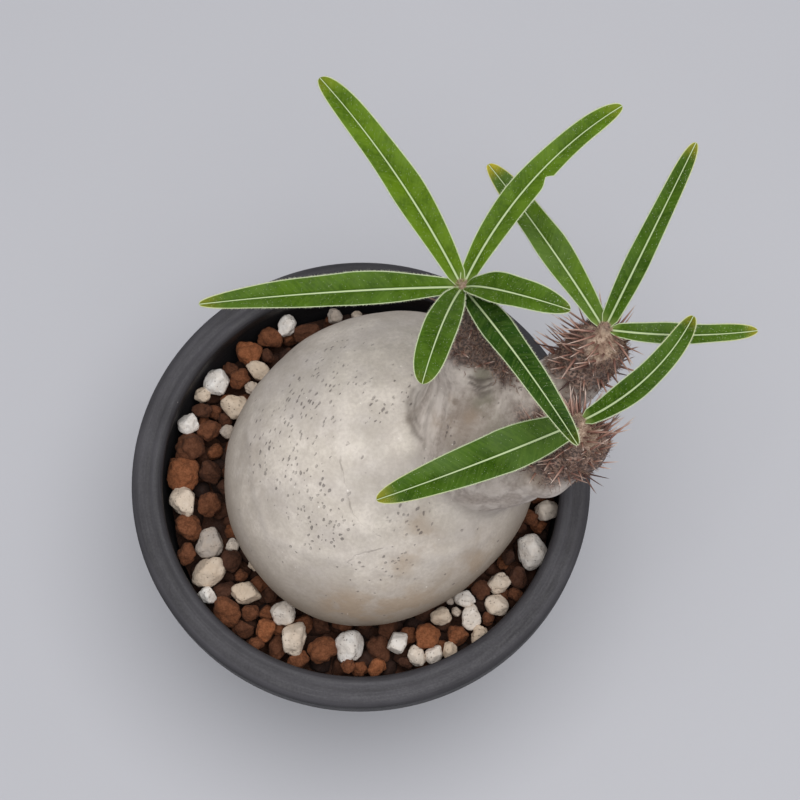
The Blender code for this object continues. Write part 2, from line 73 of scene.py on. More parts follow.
def add(tree, kind, sockets=None, **settings):
    """A node of this kind, each named socket given a value or the output that feeds it."""
    node = tree.nodes.new(kind)
    for name, value in settings.items():
        setattr(node, name, value)
    for name, value in (sockets or {}).items():
        feed(tree, node.inputs[name], value)
    return node


def feed(tree, socket, value):
    if isinstance(value, bpy.types.NodeSocket):
        tree.links.new(value, socket)
    else:
        socket.default_value = value


def maths(tree, operation, first, second=0.0):
    return add(tree, "ShaderNodeMath", {0: first, 1: second}, operation=operation).outputs[0]


def ease(tree, value, start=0.0, end=1.0, low=0.0, high=1.0):
    """A smooth step from low to high while the value goes from start to end."""
    sockets = {"Value": value, "From Min": start, "From Max": end, "To Min": low, "To Max": high}
    return add(tree, "ShaderNodeMapRange", sockets, interpolation_type="SMOOTHSTEP").outputs[0]


def coat(tree, share, under, over):
    """One colour over another, by a share from 0 to 1."""
    return add(tree, "ShaderNodeMix", {0: share, 6: under, 7: over}, data_type="RGBA").outputs[2]


def new_group(name, takes, gives):
    """A shader node group with these (name, kind) sockets: itself, what it is given and what it gives."""
    group = bpy.data.node_groups.new(name, "ShaderNodeTree")
    for label, kind in takes:
        group.interface.new_socket(name=label, in_out="INPUT", socket_type=kind)
    for label, kind in gives:
        group.interface.new_socket(name=label, in_out="OUTPUT", socket_type=kind)
    return group, group.nodes.new("NodeGroupInput").outputs, group.nodes.new("NodeGroupOutput").inputs


def make_mottle():
    """Cloudy patches of a size in metres: a mask, steeper with more contrast, and a soft height, 0 to 1."""
    takes = [("Point", "NodeSocketVector"), ("Size", "NodeSocketFloat"), ("Contrast", "NodeSocketFloat")]
    gives = [("Mask", "NodeSocketFloat"), ("Height", "NodeSocketFloat")]
    group, given, made = new_group("mottle", takes, gives)
    scale = maths(group, "DIVIDE", 1.0, given["Size"])
    cloud = add(group, "ShaderNodeTexNoise", {
        "Vector": given["Point"], "Scale": scale, "Detail": 4.0, "Roughness": 0.55,
    }).outputs[0]
    centred = maths(group, "MULTIPLY", maths(group, "SUBTRACT", cloud, 0.5), given["Contrast"])
    feed(group, made["Mask"], ease(group, maths(group, "ADD", centred, 0.5), 0.0, 1.0))
    feed(group, made["Height"], cloud)
    return group


MOTTLE = make_mottle()


def mottle(tree, point, size, contrast=3.0):
    """The outputs of one mottle: its mask and its height."""
    sockets = {"Point": point, "Size": size, "Contrast": contrast}
    outputs = add(tree, "ShaderNodeGroup", sockets, node_tree=MOTTLE).outputs
    return outputs["Mask"], outputs["Height"]


def new_finish(name, roughness):
    """A material of this name: itself, its node tree and the point on the surface."""
    made = bpy.data.materials.new(name)
    made.use_nodes = True
    tree = made.node_tree
    tree.nodes["Principled BSDF"].inputs["Roughness"].default_value = roughness
    return made, tree, add(tree, "ShaderNodeTexCoord").outputs["Object"]


def finished(made, colour, rough, height=None, depth=0.0):
    """The material with this colour and roughness, and a height from 0 to 1 that stands this far (m) out."""
    tree = made.node_tree
    shader = tree.nodes["Principled BSDF"]
    feed(tree, shader.inputs["Base Color"], colour)
    feed(tree, shader.inputs["Roughness"], rough)
    if height is not None:
        bump = add(tree, "ShaderNodeBump", {"Height": height, "Distance": depth, "Strength": 1.0})
        feed(tree, shader.inputs["Normal"], bump.outputs["Normal"])
    return made


def table_finish():
    made, tree, point = new_finish("table_pale_matte", 0.6)
    broad, _ = mottle(tree, point, 0.25, 2.0)
    _, grain = mottle(tree, point, 0.0015)
    colour = coat(tree, broad, tone(189, 189, 195), tone(192, 192, 198))
    return finished(made, colour, 0.6, grain, 0.00003)


def mesh_object(name, points, faces):
    made = bpy.data.objects.new(name, bpy.data.meshes.new(name))
    made.data.from_pydata(points, [], faces)
    scene.collection.objects.link(made)
    return made


corners = [(x * TABLE_REACH, y * TABLE_REACH, 0) for x, y in ((-1, -1), (1, -1), (1, 1), (-1, 1))]
table = mesh_object("table", corners, [(0, 1, 2, 3)])
table.data.materials.append(table_finish())

camera = bpy.data.objects.new("camera", bpy.data.cameras.new("camera"))
camera.location = CAMERA_PLACE
camera.rotation_euler = (math.radians(90 - CAMERA_DOWN), 0, 0)
camera.data.lens = CAMERA_LENS
camera.data.sensor_width = CAMERA_SENSOR
camera.data.clip_start = 0.01
camera.data.clip_end = 50
scene.collection.objects.link(camera)
scene.camera = camera

lamp = bpy.data.objects.new("soft_lamp", bpy.data.lights.new("soft_lamp", "AREA"))
lamp.data.shape = "DISK"
lamp.data.size = LAMP_SIZE
lamp.data.energy = LAMP_POWER
lamp.location = LAMP_PLACE
lamp.rotation_euler = (-Vector(LAMP_PLACE)).to_track_quat("-Z", "Y").to_euler()
scene.collection.objects.link(lamp)

room = bpy.data.worlds.new("room")
room.use_nodes = True
sky = room.node_tree.nodes["Background"].inputs
sky["Color"].default_value = ROOM_TINT
sky["Strength"].default_value = ROOM_LIGHT
scene.world = room
scene.view_settings.view_transform = "Standard"


# The pot is charcoal stoneware, thrown on a wheel and turned with a rib, which leaves fine rings all round.
# Its lip has a narrow inner bead, a shallow groove and a broad outer bead. Before it is fired, four drain
# holes are cut through its floor, and grooves that lead out from them into its underside.
POT_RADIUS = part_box("pot")[1][0]
POT_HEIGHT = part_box("pot")[1][2]
POT_MOUTH_RADIUS = 0.0519
POT_FOOT_RADIUS = 0.037
POT_WALL = 0.0045
POT_FLOOR = 0.006
LIP_DEPTH = 0.009
MOUTH_UNDERCUT = 0.0012
FOOT_ROUNDING = 0.0010
LIP_FALL = 0.0002
LIP_OUTER_ROUNDING = 0.0022
LIP_INNER_ROUNDING = 0.0020
LIP_UNDER_ROUNDING = 0.0010
LIP_GROOVE_RADIUS = 0.0552
LIP_GROOVE_DEPTH = 0.00016
LIP_GROOVE_WIDTH = 0.0006
POT_SEGMENTS = 208
WALL_RINGS = 66
LIP_TOP_RINGS = 22
LIP_TOP_EDGES = (0.0578, 0.0541)  # radii between which the lip's top is nearly flat
UNDERSIDE_RADII = (0.012, 0.024)
FLOOR_RADII = (0.028, 0.022, 0.014, 0.007)
RING_PITCH = 0.0019
RING_DEPTH = 0.00010
RING_DRIFT = 0.05  # how much the rings change round the pot
DRAIN_RADIUS = 0.0035
DRAIN_RING_RADIUS = 0.0175
DRAIN_COUNT = 4
GROOVE_WIDTH = 0.006
GROOVE_DEPTH = 0.002
GROOVE_ROUNDING = 0.0012
DRILL_SIDES = 36
UNDER_LIP = POT_HEIGHT - LIP_DEPTH


def wall_radius(height):
    """Inner radius of the pot at a height: a belly that leans out from the floor and ends upright."""
    rise = (height - POT_FLOOR) / (UNDER_LIP - POT_FLOOR)
    foot = POT_FOOT_RADIUS - POT_WALL
    return foot + (POT_MOUTH_RADIUS + MOUTH_UNDERCUT - foot) * math.sin(0.5 * math.pi * min(max(rise, 0), 1))


def rib_mark(place):
    """How far the turner's rib left the clay in or out at this place along the profile."""
    broad = noise.noise(Vector((0.4, 0.9, place / RING_PITCH)))
    fine = noise.noise(Vector((7.4, 3.9, place / (0.3 * RING_PITCH))))
    return RING_DEPTH * (broad + 0.35 * fine)


def arc(centre, radius, start, end, steps):
    """Points (radius, height) on an arc, its angles in degrees from outwards towards up."""
    turns = np.radians(np.linspace(start, end, steps + 1))
    return [(centre[0] + radius * math.cos(turn), centre[1] + radius * math.sin(turn)) for turn in turns]


def lip_top(radius):
    """Height of the lip's top: it falls a little outwards, with a groove between its two beads."""
    inner = POT_MOUTH_RADIUS + LIP_INNER_ROUNDING
    outer = POT_RADIUS - LIP_OUTER_ROUNDING
    groove = LIP_GROOVE_DEPTH * math.exp(-(((radius - LIP_GROOVE_RADIUS) / LIP_GROOVE_WIDTH) ** 2))
    return POT_HEIGHT - LIP_FALL * (radius - inner) / (outer - inner) - groove


def pot_profile():
    """The pot's outline from the middle of its foot, up outside, over the lip and down to its floor."""
    heights = np.linspace(POT_FLOOR, UNDER_LIP, WALL_RINGS)
    underside = [(radius, 0) for radius in (0,) + UNDERSIDE_RADII]
    foot = arc((POT_FOOT_RADIUS - FOOT_ROUNDING, FOOT_ROUNDING), FOOT_ROUNDING, -90, 0, 4)
    outer = [(wall_radius(height) + POT_WALL + rib_mark(height), height) for height in heights]
    under_lip = (POT_RADIUS - LIP_UNDER_ROUNDING, UNDER_LIP + LIP_UNDER_ROUNDING)
    under = arc(under_lip, LIP_UNDER_ROUNDING, -90, 0, 5)
    side = (POT_RADIUS - LIP_OUTER_ROUNDING, POT_HEIGHT - LIP_FALL - LIP_OUTER_ROUNDING)
    outside = arc(side, LIP_OUTER_ROUNDING, 0, 85, 9)
    radii = np.linspace(*LIP_TOP_EDGES, LIP_TOP_RINGS)
    top = [(radius, lip_top(radius) + 0.3 * rib_mark(radius)) for radius in radii]
    mouth = (POT_MOUTH_RADIUS + LIP_INNER_ROUNDING, POT_HEIGHT - LIP_INNER_ROUNDING)
    inside = arc(mouth, LIP_INNER_ROUNDING, 92, 180, 8)
    inner = [(wall_radius(height) - rib_mark(height + 1), height) for height in heights[::-1]]
    floor = [(radius, POT_FLOOR) for radius in FLOOR_RADII]
    return underside + foot + outer + under + outside + top + inside + inner + floor


def turned(name, profile, segments):
    """A solid of revolution about Z from (radius, height) points that start on the axis and end near it."""
    bm = bmesh.new()
    low = bm.verts.new((0, 0, profile[0][1]))
    high = bm.verts.new((0, 0, profile[-1][1]))
    rings = []
    for radius, height in profile[1:]:
        turns = [2 * math.pi * k / segments for k in range(segments)]
        places = [(radius * math.cos(turn), radius * math.sin(turn), height) for turn in turns]
        rings.append([bm.verts.new(place) for place in places])
    for k in range(segments):
        after = (k + 1) % segments
        bm.faces.new((low, rings[0][after], rings[0][k]))
        bm.faces.new((high, rings[-1][k], rings[-1][after]))
        for inner, outer in zip(rings, rings[1:]):
            bm.faces.new((inner[k], inner[after], outer[after], outer[k]))
    return new_object(name, bm)


def new_object(name, bm):
    """An object of this name from a bmesh, with its faces turned outwards."""
    bmesh.ops.recalc_face_normals(bm, faces=bm.faces)
    mesh = bpy.data.meshes.new(name)
    bm.to_mesh(mesh)
    bm.free()
    made = bpy.data.objects.new(name, mesh)
    scene.collection.objects.link(made)
    return made


def apply_modifiers(obj):
    """Bakes an object's modifiers into its mesh."""
    bpy.context.view_layer.update()
    graph = bpy.context.evaluated_depsgraph_get()
    mesh = bpy.data.meshes.new_from_object(obj.evaluated_get(graph))
    obj.modifiers.clear()
    obj.data = mesh


def cut(obj, cutters):
    """Takes the cutters' shapes out of obj, and removes the cutters."""
    loose = bpy.data.collections.new("cutters")
    scene.collection.children.link(loose)
    for cutter in cutters:
        scene.collection.objects.unlink(cutter)
        loose.objects.link(cutter)
    boolean = obj.modifiers.new("cut", "BOOLEAN")
    boolean.operation = "DIFFERENCE"
    boolean.operand_type = "COLLECTION"
    boolean.collection = loose
    boolean.solver = "MANIFOLD"
    apply_modifiers(obj)
    for cutter in cutters:
        bpy.data.objects.remove(cutter, do_unlink=True)
    bpy.data.collections.remove(loose)


def dress(piece, finish, node=None, sharp_from=180):
    """Gives a piece its material and rounded shading, hangs it on the root body and hides the CAD node it
    stands for.
    """
    piece.data.materials.clear()
    piece.data.materials.append(finish)
    piece.data.shade_smooth()
    if sharp_from < 180:
        piece.data.set_sharp_from_angle(angle=math.radians(sharp_from))
    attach(piece, "root")
    if node:
        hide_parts(node)


def drain_cutters(turn):
    """A drill for one hole, and a round-cornered bar for the groove that leads out from it."""
    hole = bmesh.new()
    ends = {"radius1": DRAIN_RADIUS, "radius2": DRAIN_RADIUS}
    bmesh.ops.create_cone(hole, cap_ends=True, segments=DRILL_SIDES, depth=4 * POT_FLOOR, **ends)
    bmesh.ops.translate(hole, verts=hole.verts, vec=(DRAIN_RING_RADIUS, 0, 0))
    bar = bmesh.new()
    reach = POT_RADIUS - DRAIN_RING_RADIUS
    bmesh.ops.create_cube(bar, size=1)
    bmesh.ops.scale(bar, verts=bar.verts, vec=(reach, GROOVE_WIDTH, 2 * GROOVE_DEPTH))
    long_edges = [edge for edge in bar.edges if abs(edge.verts[0].co.x - edge.verts[1].co.x) > 0.5 * reach]
    bmesh.ops.bevel(bar, geom=long_edges, offset=GROOVE_ROUNDING, segments=4, profile=0.5, affect="EDGES")
    bmesh.ops.translate(bar, verts=bar.verts, vec=(DRAIN_RING_RADIUS + reach / 2, 0, 0))
    for bm in (hole, bar):
        bmesh.ops.rotate(bm, verts=bm.verts, matrix=Euler((0, 0, turn)).to_matrix())
    return [new_object("drain_drill", hole), new_object("groove_bar", bar)]


def make_specks():
    """Scattered spots: how far apart (m), how many of them are kept and how far each reaches, 0 to 1."""
    takes = [("Point", "NodeSocketVector")]
    takes += [(name, "NodeSocketFloat") for name in ("Spacing", "Kept", "Reach")]
    group, given, made = new_group("specks", takes, [("Mask", "NodeSocketFloat")])
    cells = add(group, "ShaderNodeTexVoronoi", {
        "Vector": given["Point"], "Scale": maths(group, "DIVIDE", 1.0, given["Spacing"]),
    })
    chance = add(group, "ShaderNodeSeparateColor", {"Color": cells.outputs["Color"]})
    kept = maths(group, "LESS_THAN", chance.outputs[0], given["Kept"])
    smallest = 0.45
    share = maths(group, "ADD", smallest, maths(group, "MULTIPLY", 1 - smallest, chance.outputs[1]))
    reach = maths(group, "MULTIPLY", given["Reach"], share)
    spot = ease(group, maths(group, "DIVIDE", cells.outputs["Distance"], reach), 1.0, 0.55)
    feed(group, made["Mask"], maths(group, "MULTIPLY", spot, kept))
    return group


SPECKS = make_specks()


def specks(tree, point, spacing, kept, reach):
    sockets = {"Point": point, "Spacing": spacing, "Kept": kept, "Reach": reach}
    return add(tree, "ShaderNodeGroup", sockets, node_tree=SPECKS).outputs["Mask"]


def vector_maths(tree, operation, first, second=None):
    """One step on vectors, which gives a number for a length, a distance or a dot product."""
    node = add(tree, "ShaderNodeVectorMath", {0: first}, operation=operation)
    if second is not None:
        feed(tree, node.inputs["Scale" if operation == "SCALE" else 1], second)
    return node.outputs["Value" if operation in ("LENGTH", "DISTANCE", "DOT_PRODUCT") else "Vector"]


def total(tree, *parts):
    """The sum of (value, weight) pairs, each value times its weight."""
    whole = 0.0
    for value, weight in parts:
        whole = maths(tree, "ADD", whole, maths(tree, "MULTIPLY", value, weight))
    return whole


def coats(tree, colour, *layers):
    """A colour under more coats: for each its mask, how strongly it covers from 0 to 1, and its colour."""
    for mask, strength, over in layers:
        colour = coat(tree, maths(tree, "MULTIPLY", mask, strength), colour, over)
    return colour


def stoneware_finish():
    """Matte charcoal clay with fine rings from the rib, cloudy firing marks and a little dust. The lip's top
    is painted lighter than the pot below it, so the sides carry painted shade.
    """
    made, tree, point = new_finish("pot_charcoal_stoneware", 0.5)
    parts = add(tree, "ShaderNodeSeparateXYZ", {0: point}).outputs
    flat = add(tree, "ShaderNodeCombineXYZ", {"X": parts["X"], "Y": parts["Y"]}).outputs[0]
    drift = total(tree, (parts["X"], RING_DRIFT), (parts["Y"], RING_DRIFT))
    profile = {"X": vector_maths(tree, "LENGTH", flat), "Y": parts["Z"], "Z": drift}
    ring_point = add(tree, "ShaderNodeCombineXYZ", profile).outputs[0]
    rings, ring_height = mottle(tree, ring_point, 0.00045, 4.0)
    bands, _ = mottle(tree, ring_point, 0.0016)
    clouds, _ = mottle(tree, point, 0.022)
    grain, grain_height = mottle(tree, point, 0.0005)
    share = total(tree, (rings, 0.16), (bands, 0.42), (clouds, 0.42))
    # The lip's top is painted lighter than the rest: painted shade on the pot's sides below the lip.
    painted_lit_top = coat(tree, share, tone(40, 38, 42), tone(70, 68, 73))
    colour = coats(
        tree, coat(tree, share, tone(26, 25, 28), tone(48, 46, 50)),
        (ease(tree, parts["Z"], POT_HEIGHT - 0.0022, POT_HEIGHT - 0.0004), 1.0, painted_lit_top),
        (specks(tree, point, 0.0035, 0.30, 0.055), 0.7, tone(150, 146, 142)),
    )
    rough = ease(tree, maths(tree, "ADD", rings, grain), 0.0, 2.0, 0.56, 0.76)
    return finished(made, colour, rough, total(tree, (ring_height, 1.0), (grain_height, 0.5)), 0.00009)


pot = turned("pot_body", pot_profile(), POT_SEGMENTS)
drills = []
for k in range(DRAIN_COUNT):
    drills += drain_cutters(2 * math.pi * (k + 0.5) / DRAIN_COUNT)
cut(pot, drills)
dress(pot, stoneware_finish(), "pot", sharp_from=38)


# The drain net is a thin black plastic disc, moulded with holes, that lies loose over the drain holes so that
# the grit stays in. Its CAD shape is right and stays; it gets a moulded, dusty finish.
def net_finish():
    made, tree, point = new_finish("net_black_plastic", 0.5)
    patches, _ = mottle(tree, point, 0.006)
    grain, grain_height = mottle(tree, point, 0.0004, 4.0)
    colour = coat(tree, grain, tone(34, 34, 35), tone(48, 48, 49))
    colour = coats(tree, colour, (patches, 0.35, tone(104, 82, 66)))
    return finished(made, colour, ease(tree, patches, low=0.4, high=0.75), grain_height, 0.00008)


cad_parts["drain_net"].material_slots[0].material = net_finish()


# The swollen stem grows with its neck, three branches, taproot and side roots as one fleshy body under a thin
# grey bark: smooth and pitted on the ball, folded and streaked on the neck, rough and scaly under the heads.
BALL_CENTRE = np.array([0.0065, 0.0016, 0.093])
BALL_RADIUS = 0.0403
BALL_HALF_HEIGHT = 0.036
# How much wider the ball is, as a share of its radius, and at which bearing; last, how broad the lobe is
BALL_BULGE = (0.022, 165)
BALL_OVAL = (0.052, 42)
BALL_LOBE = (0.034, 256, 32)
CROWN_RADIUS = 0.0017
NECK = [
    ((0.0210, 0.0010, 0.1110), 0.0195),
    ((0.0300, 0.0015, 0.1230), 0.0170),
]
BRANCH_A = [
    ((0.029, 0.007, 0.128), 0.0120),
    ((0.0272, 0.014, 0.140), 0.0088),
    ((0.0252, 0.022, 0.151), 0.0070),
    ((0.0244, 0.0266, 0.160), CROWN_RADIUS),
]
BRANCH_B = [
    ((0.038, 0.005, 0.122), 0.0110),
    ((0.051, 0.0135, 0.132), 0.0070),
    ((0.0576, 0.0192, 0.1385), 0.0064),
    ((0.0582, 0.0214, 0.145), CROWN_RADIUS),
]
BRANCH_C = [
    ((0.034, -0.002, 0.120), 0.0130),
    ((0.044, -0.0067, 0.130), 0.0086),
    ((0.0524, -0.0046, 0.139), 0.0066),
    ((0.0513, -0.0019, 0.147), CROWN_RADIUS),
]
TAPROOT = [
    ((0.006, 0.002, 0.068), 0.0220),
    ((0.005, 0.001, 0.050), 0.0090),
    ((0.004, 0.000, 0.036), 0.0052),
    ((0.006, -0.002, 0.022), 0.0034),
]
SIDE_ROOTS = [
    [((0.006, 0.002, 0.062), 0.0100), ((0.020, 0.012, 0.047), 0.0046), ((0.030, 0.018, 0.037), 0.0032)],
    [((0.006, 0.002, 0.062), 0.0100), ((-0.010, 0.013, 0.045), 0.0044), ((-0.019, 0.021, 0.035), 0.0032)],
    [((0.006, 0.002, 0.062), 0.0100), ((0.008, -0.014, 0.045), 0.0044), ((0.014, -0.025, 0.035), 0.0032)],
]
LIMB_BLEND = 0.0015
NECK_BLEND = 0.003
BRANCH_BLEND = 0.006
NECK_CREASE_DEPTH = 0.0006
NECK_CREASE_REACH = 0.003
BARK_CELL = 0.00062
NECK_EDGE = (0.0, 0.0050)  # how far outside the ball's own form the bark turns into the neck's
NECK_FOOT = (0.100, 0.108)  # heights between which it does so
# Bumps by height, size and seed: all over the bark, along the neck, on the heads' scales and at their edges
SWELLS = [(0.00034, 0.013, 1), (0.00005, 0.0022, 3)]
WRINKLES = [(0.00070, 0.0060, 4), (0.00020, 0.0026, 5)]
SCALES = [(0.00045, 0.0022, 7), (0.00022, 0.0010, 8)]
HEAD_EDGES = [(0.0022, 0.0040, 9), (0.0010, 0.0014, 10)]
DIMPLE_DEPTH = 0.00040
DIMPLE_SIZE = 0.019
WRINKLE_STRETCH = 0.80  # 0 for round wrinkles, 1 for endless ones along the folds
STREAK_STRETCH = 0.82
CREASE_WANDER = 0.0003
CREASE_WANDER_SIZE = 0.0018
# The painted shade in a crease grows with its depth up to this.
FULL_SHADE_CREASE = 0.00024  # a crease this deep is fully dark
PIT_WARP = 0.0009
PIT_SLANT = 32
CRACK_REACH = 0.00036
# Lower down the ball is painted darker and browner: partly soil stain, partly painted shade near the soil.
LOW_STAIN_AND_SHADE_HEIGHTS = (0.122, 0.086)  # the ball is browner lower down between these heights
FOLD_AXIS = np.array([0.33, 0.82, 0.47])  # the way in which the neck's folds run
# Folds in the bark, each painted lighter along its ridge as a painted highlight: how high and how broad each
# is, and points along it
FOLDS = [
    (0.00024, 0.0015, [
        (-0.027, 0.022, 0.099), (-0.027, 0.002, 0.115), (-0.025, -0.013, 0.115), (-0.022, -0.021, 0.113),
        (-0.012, -0.026, 0.116), (-0.005, -0.0273, 0.117), (-0.002, -0.0278, 0.117),
    ]),
    (0.00018, 0.0013, [
        (-0.0029, 0.0134, 0.126), (-0.0036, 0.0075, 0.127), (-0.0035, -0.001, 0.128),
        (-0.0039, -0.0045, 0.128),
    ]),
    (0.00026, 0.0015, [
        (0.0063, -0.0251, 0.120), (0.0124, -0.0272, 0.117), (0.0185, -0.0267, 0.114),
        (0.0249, -0.0241, 0.112), (0.0319, -0.0203, 0.109),
    ]),
    (0.00030, 0.0014, [(0.0235, -0.0168, 0.120), (0.0268, -0.0201, 0.1145), (0.0289, -0.0234, 0.109)]),
    (0.00050, 0.0014, [
        (0.0234, 0.0112, 0.149), (0.0234, 0.0086, 0.146), (0.0224, 0.0063, 0.1425),
        (0.0212, 0.0037, 0.140),
    ]),
    (0.00060, 0.0013, [(0.0328, 0.0082, 0.144), (0.0343, 0.0061, 0.142), (0.0355, 0.0035, 0.140)]),
]
# Creases, painted darker with painted shade the deeper they are: how deep and how broad each is, and points
# along it
CREASES = [
    (0.00024, 0.0006, [
        (0.0136, 0.0124, 0.127), (0.0124, 0.0086, 0.128), (0.0124, 0.0043, 0.129), (0.0133, 0.001, 0.130),
        (0.0152, -0.0019, 0.1315),
    ]),
    (0.00020, 0.0005, [
        (0.0148, 0.0110, 0.128), (0.0138, 0.0077, 0.129), (0.0138, 0.0039, 0.130), (0.0147, 0.0011, 0.132),
    ]),
    (0.00038, 0.0005, [(0.0264, 0.0087, 0.1475), (0.0288, 0.0078, 0.1465), (0.0316, 0.0089, 0.146)]),
    (0.00040, 0.0005, [(0.0267, 0.0074, 0.1465), (0.0290, 0.0064, 0.1453), (0.0319, 0.0076, 0.145)]),
    (0.00028, 0.0005, [(0.0272, 0.0060, 0.1453), (0.0293, 0.0052, 0.1441), (0.0317, 0.0061, 0.144)]),
    (0.00013, 0.0006, [
        (0.0188, 0.0090, 0.1390), (0.0172, 0.0050, 0.1350), (0.0159, 0.0014, 0.1331),
        (0.0159, -0.0038, 0.1315),
    ]),
    (0.00012, 0.0006, [(0.0348, 0.0036, 0.1415), (0.0350, 0.0007, 0.1400), (0.0364, -0.0038, 0.1386)]),
    (0.00010, 0.0005, [(0.0214, 0.0060, 0.1415), (0.0200, 0.0010, 0.1375), (0.0190, -0.0040, 0.1350)]),
    (0.00008, 0.0004, [
        (0.0008, 0.0251, 0.122), (0.0033, 0.0236, 0.123), (0.0072, 0.0245, 0.123), (0.0090, 0.0268, 0.121),
    ]),
    (0.00006, 0.0004, [
        (0.0012, -0.0293, 0.116), (0.0053, -0.0307, 0.114), (0.0100, -0.0313, 0.113),
        (0.0151, -0.0312, 0.110),
    ]),
]
# Fine cracks: points along each
CRACKS = [
    [(-0.0039, -0.0045, 0.128), (-0.0030, -0.0093, 0.127), (-0.0008, -0.0176, 0.1244),
     (0.0013, -0.0198, 0.123), (0.0059, -0.0226, 0.122)],
    [(-0.0019, -0.0278, 0.117), (0.0001, -0.0266, 0.119), (0.0025, -0.0258, 0.119), (0.0063, -0.0251, 0.120)],
]
# Patches on the bark, by middle, reach and strength: where it is pitted, and where its colour is changed: by
# rusty stains, olive grey patches and painted shade
PATCHES = {
    "pitted": [
        ((-0.0077, 0.0177, 0.1232), 0.0080, 0.8), ((-0.0165, 0.0060, 0.1225), 0.0090, 0.8),
        ((-0.0238, -0.0030, 0.1185), 0.0060, 0.6), ((-0.0159, -0.0090, 0.1220), 0.0060, 0.6),
        ((-0.0090, -0.0185, 0.1221), 0.0070, 1.3), ((0.0119, -0.0194, 0.1228), 0.0055, 0.9),
        ((0.0049, 0.0069, 0.1287), 0.0036, 1.0), ((0.0108, 0.0110, 0.1270), 0.0034, 0.8),
        ((0.0090, -0.0290, 0.1157), 0.0032, 1.1), ((0.0212, -0.0016, 0.1377), 0.0020, 1.6),
    ],
    "rusty": [
        ((0.0270, 0.0011, 0.1412), 0.0020, 1.3), ((0.0219, 0.0057, 0.1414), 0.0015, 0.7),
        ((0.0187, 0.0016, 0.1367), 0.0030, 0.6), ((0.0231, -0.0003, 0.1392), 0.0025, 0.5),
        ((0.0416, -0.0126, 0.1363), 0.0024, 1.2), ((0.0138, -0.0193, 0.1223), 0.0040, 0.6),
        ((0.0102, -0.0279, 0.1165), 0.0050, 0.7), ((0.0175, -0.0233, 0.1181), 0.0040, 0.6),
        ((-0.0022, -0.0368, 0.1034), 0.0080, 1.2), ((0.0120, -0.0357, 0.1020), 0.0080, 1.0),
        ((0.0280, -0.0260, 0.1040), 0.0080, 0.8),
    ],
    # Olive grey patches, darker than the bark round them.
    "olive_grey": [
        ((0.0294, 0.0096, 0.1478), 0.0024, 1.2), ((0.0298, 0.0047, 0.1430), 0.0030, 1.0),
        ((0.0330, -0.0010, 0.1400), 0.0040, 0.5),
    ],
    # Patches of painted shade: on the neck, under the heads and leaves, and on the ball's sides.
    "painted_shade": [
        ((0.0272, 0.0000, 0.1400), 0.0060, 1.3), ((0.0250, -0.0040, 0.1370), 0.0050, 1.0),
        ((0.0136, 0.0050, 0.1290), 0.0030, 1.1), ((-0.0260, -0.0080, 0.1150), 0.0100, 0.35),
        ((0.0400, 0.0010, 0.1380), 0.0040, 0.6), ((0.0490, 0.0090, 0.1372), 0.0052, 1.5),
        ((0.0462, -0.0118, 0.1380), 0.0046, 1.4), ((0.0410, -0.0124, 0.1365), 0.0040, 0.8),
        ((0.0231, 0.0048, 0.1417), 0.0006, 2.0), ((-0.0250, 0.0050, 0.1150), 0.0080, 0.4),
        ((-0.0150, 0.0250, 0.1130), 0.0080, 0.4),
    ],
}


def soft_min(a, b, reach):
    """The smaller of two distances, rounded over this reach where they are alike."""
    share = np.clip(0.5 + 0.5 * (b - a) / reach, 0, 1)
    return b + (a - b) * share - reach * share * (1 - share)


def fading(distance, reach):
    """1 at no distance, falling smoothly to almost nothing at twice the reach."""
    return np.exp(-((distance / reach) ** 2))


def away_from(p, place):
    """Each point's distance from one place."""
    return np.linalg.norm(p - np.array(place), axis=1)


def ball_distance(p):
    """The swollen stem: an egg standing upright, a little lopsided and oval as seen from above."""
    q = p - BALL_CENTRE
    bearing = np.arctan2(q[:, 1], q[:, 0])
    bulge = BALL_BULGE[0] * np.cos(bearing - math.radians(BALL_BULGE[1]))
    oval = BALL_OVAL[0] * np.cos(2 * (bearing - math.radians(BALL_OVAL[1])))
    off_lobe = (np.degrees(bearing) - BALL_LOBE[1] + 180) % 360 - 180
    lobe = BALL_LOBE[0] * fading(off_lobe, BALL_LOBE[2])
    wide = np.linalg.norm(q[:, :2], axis=1) / (BALL_RADIUS * (1 + bulge + oval + lobe))
    return (np.hypot(wide, q[:, 2] / BALL_HALF_HEIGHT) - 1) * BALL_HALF_HEIGHT


def stretches(p, chain):
    """For each stretch of a chain: every point's distance from its axis and share along it, and its radii."""
    for (start, start_radius), (end, end_radius) in zip(chain, chain[1:]):
        start = np.array(start)
        axis = np.array(end) - start
        along = np.clip((p - start) @ axis / (axis @ axis), 0, 1)
        yield np.linalg.norm(p - (start + along[:, None] * axis), axis=1), along, start_radius, end_radius


def limb_distance(p, chain):
    """Distance to a chain of tapered round stretches."""
    nearest = None
    for away, along, start_radius, end_radius in stretches(p, chain):
        distance = away - (start_radius + (end_radius - start_radius) * along)
        nearest = distance if nearest is None else soft_min(nearest, distance, LIMB_BLEND)
    return nearest


def bark_distance(p):
    """Distance to the whole plant's surface but for its leaves, spines and wool, less than 0 inside it."""
    ball = ball_distance(p)
    neck = limb_distance(p, NECK)
    form = soft_min(ball, neck, NECK_BLEND) + NECK_CREASE_DEPTH * fading(ball - neck, NECK_CREASE_REACH)
    for limb in [BRANCH_A, BRANCH_B, BRANCH_C, TAPROOT] + SIDE_ROOTS:
        form = soft_min(form, limb_distance(p, limb), BRANCH_BLEND)
    return form


def bark_slope(p):
    """How the distance to the bark grows at each point along X, Y and Z."""
    step = 0.0002
    slope = np.empty_like(p)
    for k in range(3):
        shift = np.zeros(3)
        shift[k] = step
        slope[:, k] = (bark_distance(p + shift) - bark_distance(p - shift)) / (2 * step)
    return slope


